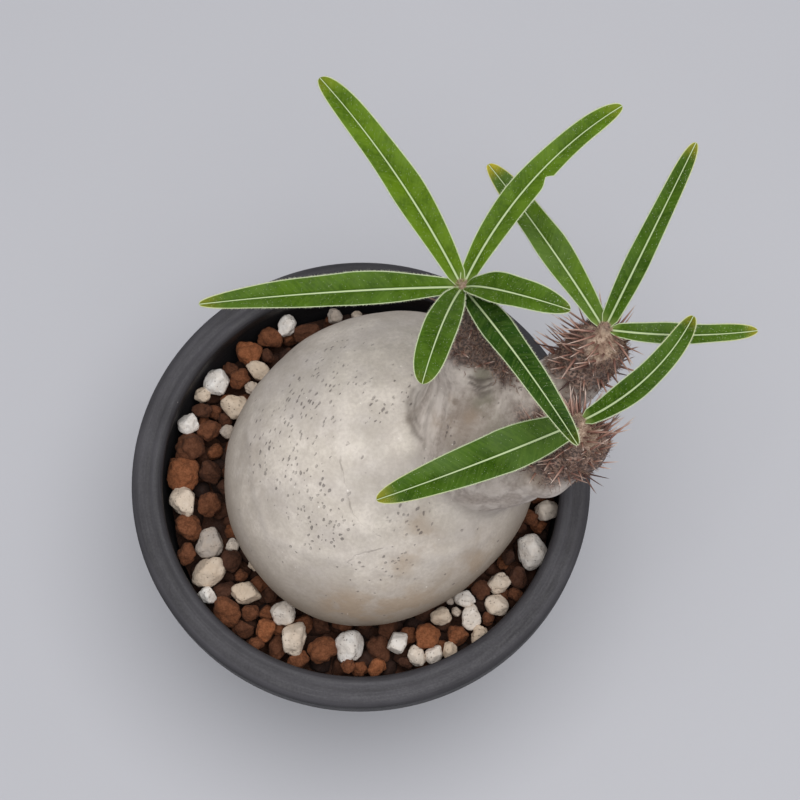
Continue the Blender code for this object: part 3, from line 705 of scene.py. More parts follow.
def onto_bark(p, offset=0.0):
    """Moves points onto the form's surface, or this far outside it."""
    longest_move = 0.003
    for _ in range(6):
        slope = bark_slope(p)
        steepness = np.maximum((slope**2).sum(axis=1), 0.05)
        move = (bark_distance(p) - offset)[:, None] * slope / steepness[:, None]
        length = np.linalg.norm(move, axis=1, keepdims=True)
        p = p - move * np.minimum(1, longest_move / np.maximum(length, 1e-9))
    return p


def points_of(mesh):
    points = np.empty(len(mesh.vertices) * 3)
    mesh.vertices.foreach_get("co", points)
    return points.reshape(-1, 3)


def set_points(mesh, points):
    mesh.vertices.foreach_set("co", points.ravel())
    mesh.update()


def grown_form(name, cell, offset=0.0):
    """The whole stem with its roots, in cells of this size, its surface this far outside the bark."""
    beads = [(BALL_CENTRE, BALL_HALF_HEIGHT)]
    for chain in [NECK, BRANCH_A, BRANCH_B, BRANCH_C, TAPROOT] + SIDE_ROOTS:
        for (start, start_radius), (end, end_radius) in zip(chain, chain[1:]):
            for share in np.linspace(0, 1, 7):
                radius = start_radius + (end_radius - start_radius) * share
                beads.append((Vector(start).lerp(Vector(end), share), radius))
    bm = bmesh.new()
    for centre, radius in beads:
        made = bmesh.ops.create_icosphere(bm, subdivisions=3, radius=radius)
        bmesh.ops.translate(bm, verts=made["verts"], vec=centre)
    form = new_object(name, bm)
    remesh = form.modifiers.new("join", "REMESH")
    remesh.mode = "VOXEL"
    remesh.voxel_size = cell
    apply_modifiers(form)
    set_points(form.data, onto_bark(points_of(form.data), offset))
    return form


def rough(points, size, seed):
    """Smooth noise from -1 to 1 at each point, in lumps of about this size."""
    shift = Vector((1.7 * seed, 0.9 * seed, -2.3 * seed))
    return np.array([noise.noise(Vector(point) / size + shift) for point in points])


def bumps(points, kinds):
    """The height of these kinds of bumps together at each point."""
    return sum(height * rough(points, size, seed) for height, size, seed in kinds)


def ramp(values, start, end):
    """A smooth step from 0 to 1 while the values go from start to end."""
    share = np.clip((values - start) / (end - start), 0, 1)
    return share * share * (3 - 2 * share)


def line_distance(p, line):
    """Distance to a line of points, once they are moved onto the bark."""
    return limb_distance(p, [(point, 0.0) for point in onto_bark(np.array(line))])


def limb_gap(p, chain):
    """Distance to a chain whose stretches each keep the radius they start with."""
    return np.min([away - radius for away, _, radius, _ in stretches(p, chain)], axis=0)


def point_along(chain, share):
    """Centre, radius and direction at a share of a limb's length."""
    ends = [Vector(centre) for centre, _ in chain]
    lengths = [(b - a).length for a, b in zip(ends, ends[1:])]
    left = share * sum(lengths)
    for k, length in enumerate(lengths):
        if left <= length or k == len(lengths) - 1:
            part = min(left / length, 1)
            radius = chain[k][1] + (chain[k + 1][1] - chain[k][1]) * part
            return ends[k].lerp(ends[k + 1], part), radius, (ends[k + 1] - ends[k]).normalized()
        left -= length


# How far from each crown its head of dead scales and felt reaches, how that grows along X, Y and Z, and
# where the young wool lies from the crown
HEADS = {
    "a": (BRANCH_A, 0.0180, np.array([0.8, 0.0, 0.0]), np.array([0.0, 0.0, 0.0])),
    "b": (BRANCH_B, 0.0138, np.array([-0.12, -0.05, 0.0]), np.array([-0.0004, -0.0034, -0.0010])),
    "c": (BRANCH_C, 0.0150, np.array([-0.08, -0.06, 0.0]), np.array([0.0020, -0.0024, -0.0006])),
}
HEAD_THICKNESS = 0.0045  # how far from a branch its head's bark still counts as that head's
SCALY_DEPTHS = (-0.0030, 0.0018)  # from no scales to all scales, as depths inside the head
WOOL_REACH = 0.0049
WOOL_EDGE = 0.0024
WOOL_WANDER = [(0.0014, 0.0016, 11)]
# A bare spot on the tallest branch: its middle, its reach and how far the felt keeps off it
BARE_SPOT = ((0.0294, 0.0086, 0.1470), 0.0028, 0.0070)


def head_depth(p, key):
    """How far inside the head of a branch each point is."""
    branch, reach, lean, _ = HEADS[key]
    crown = branch[-1][0]
    middle, spread, back = BARE_SPOT
    bare = back * fading(away_from(p, middle), spread)
    return reach + (p - np.array(crown)) @ lean - away_from(p, crown) - bare


# Spine cushions, the small swellings that each carry a pair of spines, on a spiral up every branch:
# where they start along it, how many, and how long the spines are
CUSHIONS = {
    "a": (BRANCH_A, 0.36, 30, 0.0044),
    "b": (BRANCH_B, 0.48, 66, 0.0068),
    "c": (BRANCH_C, 0.40, 96, 0.0064),
}
CUSHIONS_END = 0.99
SPIRAL_TURN = 137.5
SPIRAL_SCATTER = 12
CUSHION_HEIGHT = 0.00045
CUSHION_REACH = 0.0011
CUSHION_DEPTH = 0.0002  # at least this far inside the head
LOOKOUT = 0.003  # this far out from its foot a cushion or a spine has to be clear of the other bark
CUSHION_ROOM = 0.001


def feet_on_bark(places):
    """These places moved onto the bark, as vectors."""
    return [Vector(foot) for foot in onto_bark(np.array([tuple(place) for place in places]))]


def cushions(key, draw):
    """(foot, outward direction, limb's direction, share of the limb) of each cushion on a branch."""
    branch, start, count, _ = CUSHIONS[key]
    places = []
    ways = []
    for k in range(count):
        share = start + (CUSHIONS_END - start) * (k + 0.5) / count
        centre, radius, axis = point_along(branch, share)
        turn = math.radians(SPIRAL_TURN * k + draw.uniform(-SPIRAL_SCATTER, SPIRAL_SCATTER))
        side = axis.orthogonal().normalized()
        out = side * math.cos(turn) + axis.cross(side) * math.sin(turn)
        places.append(centre + out * radius)
        ways.append((out, axis, share))
    feet = feet_on_bark(places)
    room = bark_distance(np.array([tuple(foot + out * LOOKOUT) for foot, (out, _, _) in zip(feet, ways)]))
    depths = head_depth(np.array([tuple(foot) for foot in feet]), key)
    kept = (room > CUSHION_ROOM) & (depths > CUSHION_DEPTH)
    return [(foot, *way) for foot, way, fits in zip(feet, ways, kept) if fits]


def paint(piece, name, values):
    """Keeps one number for each of the piece's points under this name, for its material to read."""
    numbers = piece.data.attributes.new(name, "FLOAT", "POINT").data
    numbers.foreach_set("value", np.asarray(values, dtype=float))


def heads_at(p):
    """How scaly and how woolly the bark is at each point, 0 to 1."""
    scaly = np.zeros(len(p))
    woolly = np.zeros(len(p))
    for key, (branch, _, _, wool_place) in HEADS.items():
        near = ramp(HEAD_THICKNESS - limb_gap(p, branch), 0, 0.002)
        depth = head_depth(p, key) + bumps(p, HEAD_EDGES)
        scaly = np.maximum(scaly, near * ramp(depth, *SCALY_DEPTHS))
        from_wool = away_from(p, branch[-1][0] + wool_place)
        woolly = np.maximum(woolly, near * ramp(WOOL_REACH - from_wool + bumps(p, WOOL_WANDER), 0, WOOL_EDGE))
    return scaly, woolly


def weathered(stem, feet):
    """Gives the smooth form its folds, wrinkles and cushions, and keeps what its finish needs to know."""
    p = points_of(stem.data)
    out = bark_slope(p)
    out /= np.linalg.norm(out, axis=1, keepdims=True)
    for name, spots in PATCHES.items():
        covers = [strength * fading(away_from(p, middle), reach) for middle, reach, strength in spots]
        paint(stem, name, sum(covers))
    rise = bumps(p, SWELLS) - DIMPLE_DEPTH * np.abs(rough(p, DIMPLE_SIZE, 2))
    fold_highlight = np.zeros(len(p))
    for height, reach, line in FOLDS:
        near = fading(line_distance(p, line), reach)
        rise += height * near
        fold_highlight = np.maximum(fold_highlight, near)
    crease_shade = np.zeros(len(p))
    shifts = [rough(p, CREASE_WANDER_SIZE, seed) for seed in (12, 13, 14)]
    wander = p + CREASE_WANDER * np.stack(shifts, axis=1)
    for depth, reach, line in CREASES:
        near = fading(line_distance(wander, line), reach)
        rise -= depth * near
        crease_shade = np.maximum(crease_shade, near * depth / FULL_SHADE_CREASE)
    on_neck = ramp(ball_distance(p), *NECK_EDGE) * ramp(p[:, 2], *NECK_FOOT)
    drawn = p - WRINKLE_STRETCH * (p @ FOLD_AXIS)[:, None] * FOLD_AXIS
    scaly, woolly = heads_at(p)
    rise += on_neck * bumps(drawn, WRINKLES) + scaly * bumps(p, SCALES)
    for foot in feet:
        rise += CUSHION_HEIGHT * fading(away_from(p, foot), CUSHION_REACH)
    set_points(stem.data, p + out * rise[:, None])
    kept = {"fold_highlight": fold_highlight, "crease_shade": crease_shade, "neck": on_neck, "scaly": scaly, "woolly": woolly}
    for name, values in kept.items():
        paint(stem, name, values)


def make_crack():
    """A thin straight crack between two points: a mask that is 1 along it."""
    takes = [(name, "NodeSocketVector") for name in ("Point", "Start", "End")]
    takes.append(("Reach", "NodeSocketFloat"))
    group, given, made = new_group("crack", takes, [("Mask", "NodeSocketFloat")])
    to_point = vector_maths(group, "SUBTRACT", given["Point"], given["Start"])
    axis = vector_maths(group, "SUBTRACT", given["End"], given["Start"])
    whole = vector_maths(group, "DOT_PRODUCT", axis, axis)
    share = maths(group, "DIVIDE", vector_maths(group, "DOT_PRODUCT", to_point, axis), whole)
    share = maths(group, "MINIMUM", maths(group, "MAXIMUM", share, 0.0), 1.0)
    gap = vector_maths(group, "DISTANCE", to_point, vector_maths(group, "SCALE", axis, share))
    feed(group, made["Mask"], ease(group, maths(group, "DIVIDE", gap, given["Reach"]), 1.0, 0.2))
    return group


def cracks_at(tree, point):
    """A mask of all the fine cracks."""
    group = make_crack()
    mask = 0.0
    for crack in CRACKS:
        snapped = onto_bark(np.array(crack))
        for start, end in zip(snapped, snapped[1:]):
            sockets = {"Point": point, "Start": tuple(start), "End": tuple(end), "Reach": CRACK_REACH}
            line = add(tree, "ShaderNodeGroup", sockets, node_tree=group)
            mask = maths(tree, "MAXIMUM", mask, line.outputs["Mask"])
    return mask


def kept_number(tree, name):
    """The number that paint() kept under this name."""
    return add(tree, "ShaderNodeAttribute", {}, attribute_name=name).outputs["Fac"]


def bark_finish():
    """Thin grey bark with beige clouds, dark pits and cracks, a streaked neck and reddish dead scales, with
    painted highlights on its folds and painted shade in its creases and dark patches.
    """
    made, tree, point = new_finish("stem_grey_bark", 0.6)
    broad, _ = mottle(tree, point, 0.016)
    middle, _ = mottle(tree, point, 0.0042, 3.5)
    fine, fine_height = mottle(tree, point, 0.0009, 4.0)
    blotch, _ = mottle(tree, point, 0.0065, 5.0)
    flakes, flake_height = mottle(tree, point, 0.0007, 6.0)
    tufts, _ = mottle(tree, point, 0.0022, 5.0)

    folds = tuple(FOLD_AXIS)
    away = maths(tree, "MULTIPLY", vector_maths(tree, "DOT_PRODUCT", point, folds), -STREAK_STRETCH)
    drawn = vector_maths(tree, "ADD", point, vector_maths(tree, "SCALE", folds, away))
    streaks, streak_height = mottle(tree, drawn, 0.0034, 5.0)
    neck = kept_number(tree, "neck")
    neck_colour = coats(
        tree, coat(tree, streaks, tone(160, 147, 138), tone(214, 203, 194)),
        (middle, 0.38, tone(152, 139, 128)),
        (fine, 0.30, tone(226, 212, 204)),
    )

    scaly = kept_number(tree, "scaly")
    scales = coat(tree, flakes, tone(60, 43, 38), tone(160, 130, 116))
    scales = coats(tree, scales, (tufts, 0.62, tone(64, 44, 39)))
    wool = coat(tree, tufts, tone(208, 184, 162), tone(156, 128, 110))

    warp = add(tree, "ShaderNodeTexNoise", {"Vector": point, "Scale": 700.0})
    bent = vector_maths(tree, "ADD", point, vector_maths(tree, "SCALE", warp.outputs["Color"], PIT_WARP))
    turn = {"Vector": bent, "Angle": math.radians(PIT_SLANT)}
    slant = add(tree, "ShaderNodeVectorRotate", turn, rotation_type="Z_AXIS")
    slim = vector_maths(tree, "MULTIPLY", slant.outputs[0], (1, 0.5, 1))
    crowded = specks(tree, slim, 0.00095, maths(tree, "MULTIPLY", kept_number(tree, "pitted"), 0.95), 0.46)
    pits = maths(tree, "MAXIMUM", crowded, specks(tree, slim, 0.0013, 0.10, 0.26))
    cracks = cracks_at(tree, bent)

    patchy = maths(tree, "ADD", 0.45, maths(tree, "MULTIPLY", blotch, 0.6))

    def stain_and_shade(name):
        """Where a kept stain or patch of painted shade shows: in patches with soft edges."""
        return ease(tree, maths(tree, "MULTIPLY", kept_number(tree, name), patchy))

    height = add(tree, "ShaderNodeSeparateXYZ", {0: point}).outputs["Z"]
    colour = coats(
        tree, coat(tree, broad, tone(198, 189, 181), tone(226, 216, 205)),
        (middle, 0.45, tone(188, 178, 169)),
        (fine, 0.26, tone(170, 160, 152)),
        (blotch, 0.16, tone(170, 161, 142)),
        # Painted highlight along the folds' ridges.
        (kept_number(tree, "fold_highlight"), 0.22, tone(216, 207, 199)),
        # Darker and browner lower down: soil stain and painted shade.
        (ease(tree, height, *LOW_STAIN_AND_SHADE_HEIGHTS), 0.85, tone(140, 121, 100)),
        (neck, 0.85, neck_colour),
        (stain_and_shade("rusty"), 0.58, tone(168, 142, 115)),
        # Painted shade in dark patches.
        (stain_and_shade("painted_shade"), 0.66, tone(126, 111, 99)),
        # Olive grey patches, darker than the bark round them.
        (stain_and_shade("olive_grey"), 0.75, tone(122, 116, 98)),
        # Painted shade in the creases.
        (kept_number(tree, "crease_shade"), 0.52, tone(94, 84, 76)),
        (scaly, 0.92, scales),
        (kept_number(tree, "woolly"), 0.9, wool),
        (pits, ease(tree, middle, low=0.30, high=0.66), tone(92, 84, 82)),
        (specks(tree, point, 0.0032, 0.30, 0.10), 0.75, tone(238, 231, 222)),
        (maths(tree, "MULTIPLY", cracks, middle), 0.40, tone(116, 106, 98)),
    )
    streaked = maths(tree, "MULTIPLY", streak_height, neck)
    flaky = maths(tree, "MULTIPLY", flake_height, scaly)
    raised = total(tree, (fine_height, 0.5), (streaked, 0.9), (flaky, 2.0), (pits, -0.6), (cracks, -0.4))
    return finished(made, colour, ease(tree, middle, low=0.55, high=0.72), raised, 0.00025)


draw = random.Random(7)
cushion_feet = {key: cushions(key, draw) for key in CUSHIONS}
stem = grown_form("stem", BARK_CELL)
weathered(stem, [foot for feet in cushion_feet.values() for foot, _, _, _ in feet])
dress(stem, bark_finish(), "caudex")


# The grit is poured round the stem's roots: brown fired-clay grains with white and cream pumice among them.
# Below the two layers of loose grains it is one packed bed that fills the pot down to the net.
SOIL_TOP = 0.0735
GAP = 0.00035  # between the bed and whatever it lies against
NET_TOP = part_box("drain_net")[1][2]
BED_TOP = SOIL_TOP - 0.0055
SOIL_CLEARANCE = 0.0003
NEAREST_GRAIN = 0.030
DEEPEST_SUNK = 0.30  # a grain's middle is at least this share of its width from the stem
# Grains by bearing round the pot (degrees), distance from its axis (m), width (m) and tone (0 to 1).
# Pumice goes from grey through beige and cream to white, fired clay from dark red to orange.
PUMICE = [
    (143, 0.0490, 0.0080, 1.0), (131, 0.0440, 0.0067, 0.55), (147, 0.0400, 0.0072, 0.6),
    (151, 0.0490, 0.0044, 0.5), (160, 0.0485, 0.0061, 0.95), (137, 0.0400, 0.0040, 0.4),
    (157, 0.0390, 0.0042, 0.35), (116, 0.0495, 0.0060, 0.9), (184, 0.0460, 0.0084, 0.7),
    (201, 0.0420, 0.0072, 0.3), (210, 0.0450, 0.0086, 0.5), (216, 0.0490, 0.0053, 0.9),
    (223, 0.0410, 0.0074, 0.6), (239, 0.0395, 0.0074, 0.8), (247, 0.0440, 0.0080, 0.7),
    (266, 0.0420, 0.0080, 0.9), (283, 0.0420, 0.0067, 0.85), (288, 0.0470, 0.0054, 0.75),
    (293, 0.0480, 0.0048, 0.8), (298, 0.0485, 0.0044, 0.6), (339, 0.0480, 0.0092, 0.85),
    (325, 0.0440, 0.0060, 0.7), (312, 0.0400, 0.0054, 0.85), (310, 0.0450, 0.0064, 0.8),
    (317, 0.0470, 0.0060, 0.7), (301, 0.0400, 0.0054, 0.65), (308, 0.0495, 0.0050, 0.6),
    (352, 0.0490, 0.0064, 0.75), (99, 0.0480, 0.0046, 0.3), (62, 0.0480, 0.0062, 0.6),
    (28, 0.0470, 0.0056, 0.7),
]
FIRED_CLAY = [
    (119, 0.0495, 0.0074, 0.5), (111, 0.0470, 0.0069, 0.25), (130, 0.0505, 0.0079, 0.8),
    (124, 0.0453, 0.0042, 0.2), (138, 0.0449, 0.0058, 0.5), (153, 0.0483, 0.0053, 0.2),
    (159, 0.0431, 0.0063, 0.4), (167, 0.0469, 0.0085, 0.3), (175, 0.0484, 0.0092, 0.7),
    (174, 0.0401, 0.0066, 0.2), (186, 0.0412, 0.0066, 0.4), (193, 0.0465, 0.0074, 0.5),
    (201, 0.0489, 0.0053, 0.4), (210, 0.0395, 0.0058, 0.15), (218, 0.0394, 0.0037, 0.4),
    (223, 0.0474, 0.0074, 0.5), (229, 0.0436, 0.0048, 0.4), (237, 0.0444, 0.0061, 0.9),
    (237, 0.0500, 0.0045, 0.5), (250, 0.0478, 0.0053, 0.5), (257, 0.0439, 0.0079, 0.55),
    (266, 0.0472, 0.0045, 0.5), (275, 0.0475, 0.0053, 0.9), (293, 0.0433, 0.0071, 0.8),
    (302, 0.0465, 0.0058, 0.6), (284, 0.0475, 0.0037, 0.15), (319, 0.0411, 0.0053, 0.25),
    (350, 0.0457, 0.0048, 0.4), (329, 0.0469, 0.0058, 0.15), (325, 0.0489, 0.0042, 0.35),
    (314, 0.0471, 0.0037, 0.35), (334, 0.0425, 0.0042, 0.1),
]
LAID_OUTWARD = 0.0006  # the grains in the two lists stand this much farther out than their listed distances
PUMICE_LIFTS = (0.0018, 0.0032)
CLAY_LIFTS = (0.0008, 0.0026)
TOUCHING = 0.44  # grains touch with their middles this share of both widths apart
# Scattered grains: how many are tried, their widths, their heights over the soil's top, how close their
# middles may come as a share of both widths, and their tones
CRUMBS = (60, (0.0024, 0.0040), (0.0000, 0.0012), 0.42, (0.2, 0.9))
FILLERS = (2500, (0.0040, 0.0074), (-0.0018, 0.0000), TOUCHING, (0.05, 0.6))
# The lower grains get the darkest tones: painted shade deep among the grains.
LOWER_FILLERS = (2500, (0.0040, 0.0074), (-0.0060, -0.0038), 0.40, (0.0, 0.2))
# How lumpy a stone is and how many broken sides it has; then how often the faces of its ball are split
CLAY_STONE = (0.44, (2, 5))
PUMICE_STONE = (0.34, (3, 6))
COARSE = 3
FINE = 4
# A grain's lumps by share and size, how far out its broken sides lie, its three axes and its turns about them
GRAIN_LUMPS = [(0.7, 0.95), (0.4, 0.42)]
GRAIN_CRUMBS = (0.10, 0.16)
GRAIN_FLATS = (0.66, 0.90)
GRAIN_AXES = [(0.96, 1.12), (0.80, 0.98), (0.78, 0.95)]
GRAIN_TURNS = [(-0.5, 0.5), (-0.5, 0.5), (0, 2 * math.pi)]
BED_RINGS = (12, 46, 14)  # below, at the side and on top
BED_SEGMENTS = 120
BED_LUMPS = [(0.5, 0.0035, 21), (0.3, 0.0014, 22)]
BED_DEPTH = 0.0013


def ball_of_points(level):
    """Points and faces of a ball of triangles round the origin, of radius 1."""
    bm = bmesh.new()
    bmesh.ops.create_icosphere(bm, subdivisions=level, radius=1.0)
    points = np.array([vert.co[:] for vert in bm.verts])
    faces = [tuple(vert.index for vert in face.verts) for face in bm.faces]
    bm.free()
    return points, faces


GRAIN_BALLS = {level: ball_of_points(level) for level in (COARSE, FINE)}


def grain_points(width, lumps, flats, level, draw):
    """One stone round the origin: a lumpy ball with some sides broken flat."""
    ball, _ = GRAIN_BALLS[level]
    seed = draw.uniform(0, 60)
    reach = 1 + lumps * bumps(ball, [(share, size, seed + k) for k, (share, size) in enumerate(GRAIN_LUMPS)])
    for _ in range(flats):
        facing = np.array([draw.gauss(0, 1) for _ in range(3)])
        toward = ball @ (facing / np.linalg.norm(facing))
        reach = soft_min(reach, draw.uniform(*GRAIN_FLATS) / np.maximum(toward, 0.08), 0.10)
    reach += lumps * bumps(ball, [(*GRAIN_CRUMBS, seed + 2)])
    axes = np.array([draw.uniform(*limits) for limits in GRAIN_AXES])
    turns = Euler([draw.uniform(*limits) for limits in GRAIN_TURNS]).to_matrix()
    return (ball * reach[:, None] * axes * 0.5 * width) @ np.array(turns).T


def pour(name, grains, lumps, flats, level, draw):
    """One piece from (place, width, tone) grains, with each grain's tone kept on its points."""
    points = []
    faces = []
    tones = []
    _, ball_faces = GRAIN_BALLS[level]
    for place, width, shade in grains:
        first = len(tones)
        stone = grain_points(width, lumps, draw.randint(*flats), level, draw) + np.array(place)
        points += stone.tolist()
        faces += [(first + a, first + b, first + c) for a, b, c in ball_faces]
        tones += [shade] * len(stone)
    made = mesh_object(name, points, faces)
    paint(made, "tone", tones)
    return made


def spot(turn, distance, height):
    return Vector((distance * math.cos(turn), distance * math.sin(turn), height))


def room_at(place, width, others, spacing):
    """Whether a grain here keeps clear of the others and isn't sunk in the stem."""
    if any((place - other).length < spacing * (width + size) for other, size, _ in others):
        return False
    return bark_distance(np.array([place]))[0] > DEEPEST_SUNK * width


def wall_at(height):
    return wall_radius(height) - GAP - SOIL_CLEARANCE


def laid_by_hand(grains, lifts, draw):
    """(place, width, tone) of each listed grain, its middle lifted by some height over the soil's top."""
    laid = []
    for bearing, distance, width, shade in grains:
        place = spot(math.radians(bearing), distance + LAID_OUTWARD, SOIL_TOP + draw.uniform(*lifts))
        laid.append((place, width, shade))
    return laid


def settle(grains):
    """Pushes grains that overlap apart, and those that stand in the pot's wall inwards."""
    for _ in range(40):
        for k, (place, width, _) in enumerate(grains):
            for other, size, _ in grains[:k]:
                apart = place - other
                overlap = TOUCHING * (width + size) - apart.length
                if overlap > 0:
                    apart.z *= 0.4
                    push = apart.normalized() * overlap * 0.5
                    place += push
                    other -= push
            reach = math.hypot(place.x, place.y)
            inward = min(1, (wall_at(SOIL_TOP) - TOUCHING * width) / reach)
            place.x *= inward
            place.y *= inward


def scattered(tries, widths, heights, spacing, tones, others, draw):
    """Grains wherever there is room beside the others, at these heights over the soil's top."""
    made = []
    for _ in range(tries):
        width = draw.uniform(*widths)
        distance = draw.uniform(NEAREST_GRAIN, wall_at(SOIL_TOP) - 0.50 * width)
        place = spot(draw.uniform(0, 2 * math.pi), distance, SOIL_TOP + draw.uniform(*heights))
        if room_at(place, width, others + made, spacing):
            made.append((place, width, draw.uniform(*tones)))
    return made


def clay_finish():
    """Crumbly fired clay, from dark red to orange brown."""
    made, tree, point = new_finish("grit_fired_clay", 0.9)
    shade = kept_number(tree, "tone")
    crumbs, crumb_height = mottle(tree, point, 0.0011, 4.0)
    grains, grain_height = mottle(tree, point, 0.0004, 4.0)
    colour = coats(
        tree, coat(tree, shade, tone(38, 21, 15), tone(156, 90, 50)),
        (crumbs, 0.40, tone(52, 28, 18)),
        (grains, maths(tree, "MULTIPLY", shade, 0.35), tone(176, 116, 76)),
    )
    height = total(tree, (crumb_height, 1.0), (grain_height, 0.5))
    return finished(made, colour, ease(tree, crumbs, low=0.80, high=0.98), height, 0.00050)


def pumice_finish():
    """Chalky pumice with small pores, some grains dirty with clay dust."""
    made, tree, point = new_finish("grit_pumice", 0.85)
    shade = kept_number(tree, "tone")
    stains, _ = mottle(tree, point, 0.003, 4.0)
    _, chalk_height = mottle(tree, point, 0.0009)
    pores = specks(tree, point, 0.00075, 0.5, 0.36)
    colour = coats(
        tree, coat(tree, ease(tree, shade, 0.25, 0.6), tone(176, 166, 158), tone(222, 202, 180)),
        (ease(tree, shade, 0.6, 0.95), 1.0, tone(246, 241, 236)),
        (stains, 0.22, tone(192, 166, 138)),
        (pores, 0.45, tone(120, 104, 90)),
    )
    height = total(tree, (chalk_height, 1.0), (pores, -0.5))
    return finished(made, colour, ease(tree, stains, low=0.75, high=0.92), height, 0.00035)


def bed_shape():
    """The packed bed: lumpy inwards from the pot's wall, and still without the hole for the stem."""
    below, beside, above = BED_RINGS
    side = [(wall_at(height), height) for height in np.linspace(NET_TOP + GAP, BED_TOP, beside)]
    low = [(radius, NET_TOP + GAP) for radius in np.linspace(0, side[0][0], below)[:-1]]
    high = [(radius, BED_TOP) for radius in np.linspace(side[-1][0], 0, above)[1:-1]]
    bed = turned("grit_bed", low + side + high, BED_SEGMENTS)
    p = points_of(bed.data)
    inward = p - np.array([0, 0, 0.5 * BED_TOP])
    inward /= np.linalg.norm(inward, axis=1, keepdims=True)
    lumps = 0.5 + bumps(p, BED_LUMPS)
    set_points(bed.data, p - inward * (BED_DEPTH * np.clip(lumps, 0, 1.4))[:, None])
    return bed


draw = random.Random(11)
pumice = laid_by_hand(PUMICE, PUMICE_LIFTS, draw)
clay = laid_by_hand(FIRED_CLAY, CLAY_LIFTS, draw)
settle(pumice + clay)
pumice += scattered(*CRUMBS, pumice + clay, draw)
clay += scattered(*FILLERS, pumice + clay, draw)
lower = scattered(*LOWER_FILLERS, [], draw)
bed = bed_shape()
cut(bed, [grown_form("stem_hole", 3 * BARK_CELL, GAP)])
# The bed is painted in the darkest tones: painted shade below the grains.
paint(bed, "tone", 0.1 + 0.1 * rough(points_of(bed.data), 0.004, 23))
clay_material = clay_finish()
pumice_material = pumice_finish()
dress(bed, clay_material, "substrate")
upper_clay = pour("grit_clay_grains", clay, *CLAY_STONE, FINE, draw)
lower_clay = pour("grit_clay_grains_lower", lower, *CLAY_STONE, COARSE, draw)
upper_pumice = pour("grit_pumice_grains", pumice, *PUMICE_STONE, FINE, draw)
dress(upper_clay, clay_material, "substrate")
dress(lower_clay, clay_material, "substrate")
dress(upper_pumice, pumice_material, "substrate")


# The spines are hard needles that grow in pairs from the cushions, reddish brown with paler tips. Many are
# old and dark, the lower ones are shorter, and the tallest branch has only a few short ones left.
SPINE_RADIUS = 0.00030
SPINE_RINGS = 6
SPINE_LEANS = (-16, 30)  # degrees up the branch, and apart from the other of the pair
SPINE_SPREADS = (4, 38)
# Which way a head's spines all lean, and how much longer they are on that side
SPINE_SWAY = {"a": (0.0, 0.0, 0.0), "b": (-0.5, -0.2, 0.0), "c": (0.1, 0.4, 0.0)}
SPINE_STRETCH = 0.32
SPINE_CLEARANCE = 0.0004
SPINE_ROOT = 0.0006  # how deep a spine is rooted in the bark
SPINE_ROOM = 0.0005
PAIR_GAP = 0.0006  # from the middle of a cushion to either spine
YOUNG_LEAN = 22  # how many degrees further up the youngest spines lean
# Least and most of a spine's length and thickness, as shares; the length of the oldest, and the shortest kept
SPINE_LENGTHS = (0.5, 1.15)
SPINE_WIDTHS = (0.75, 1.15)
OLD_LENGTH = 0.55
SHORTEST_SPINE = 0.3


def new_growth():
    return {"points": [], "faces": [], "along": [], "shade": []}


def grow(growth, path, radii, sides, shade):
    """Adds one tapered round strand along a path that ends in its tip."""
    first = len(growth["points"])
    side = (path[1] - path[0]).orthogonal().normalized()
    for k, centre in enumerate(path[:-1]):
        along = (path[k + 1] - path[max(k - 1, 0)]).normalized()
        side = (side - along * side.dot(along)).normalized()
        across = along.cross(side)
        for j in range(sides):
            turn = 2 * math.pi * j / sides
            growth["points"].append(centre + (side * math.cos(turn) + across * math.sin(turn)) * radii[k])
    growth["points"].append(path[-1])
    rings = len(path) - 1
    for j in range(sides):
        after = (j + 1) % sides
        for k in range(rings - 1):
            near = first + k * sides
            growth["faces"].append((near + j, near + after, near + sides + after, near + sides + j))
        last = first + (rings - 1) * sides
        growth["faces"].append((last + j, last + after, first + rings * sides))
    for k in range(rings):
        growth["along"] += [k / rings] * sides
    growth["along"].append(1.0)
    growth["shade"] += [shade] * (rings * sides + 1)


def grown_piece(name, growth):
    made = mesh_object(name, [tuple(point) for point in growth["points"]], growth["faces"])
    paint(made, "along", growth["along"])
    paint(made, "shade", growth["shade"])
    return made


def clear_length(foot, direction, length, leaves):
    """The longest stretch of a spine, up to length, that stays clear of the leaves."""
    steps = 8
    for k in range(steps + 1):
        if leaves.find_nearest(foot + direction * length * k / steps)[3] < SPINE_CLEARANCE:
            return length * max(k - 1, 0) / steps
    return length


def leaf_tree():
    """One search tree over the CAD leaves."""
    joined = bmesh.new()
    for name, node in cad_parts.items():
        if name.startswith("leaf"):
            joined.from_mesh(node.data)
    tree = BVHTree.FromBMesh(joined)
    joined.free()
    return tree


def needle(growth, foot, direction, length, radius, bend, shade):
    """A needle rooted a little inside the bark and bent slightly towards one side."""
    shares = [k / SPINE_RINGS for k in range(SPINE_RINGS + 1)]
    path = []
    for share in shares:
        along = length * share - SPINE_ROOT * (1 - share)
        path.append(foot + direction * along + bend * length * share * share)
    radii = [radius * (1.15 - share) ** 0.8 for share in shares]
    grow(growth, path, radii, 5, shade)


def any_way(draw):
    """A direction with no preference."""
    return Vector((draw.gauss(0, 1), draw.gauss(0, 1), draw.gauss(0, 1))).normalized()


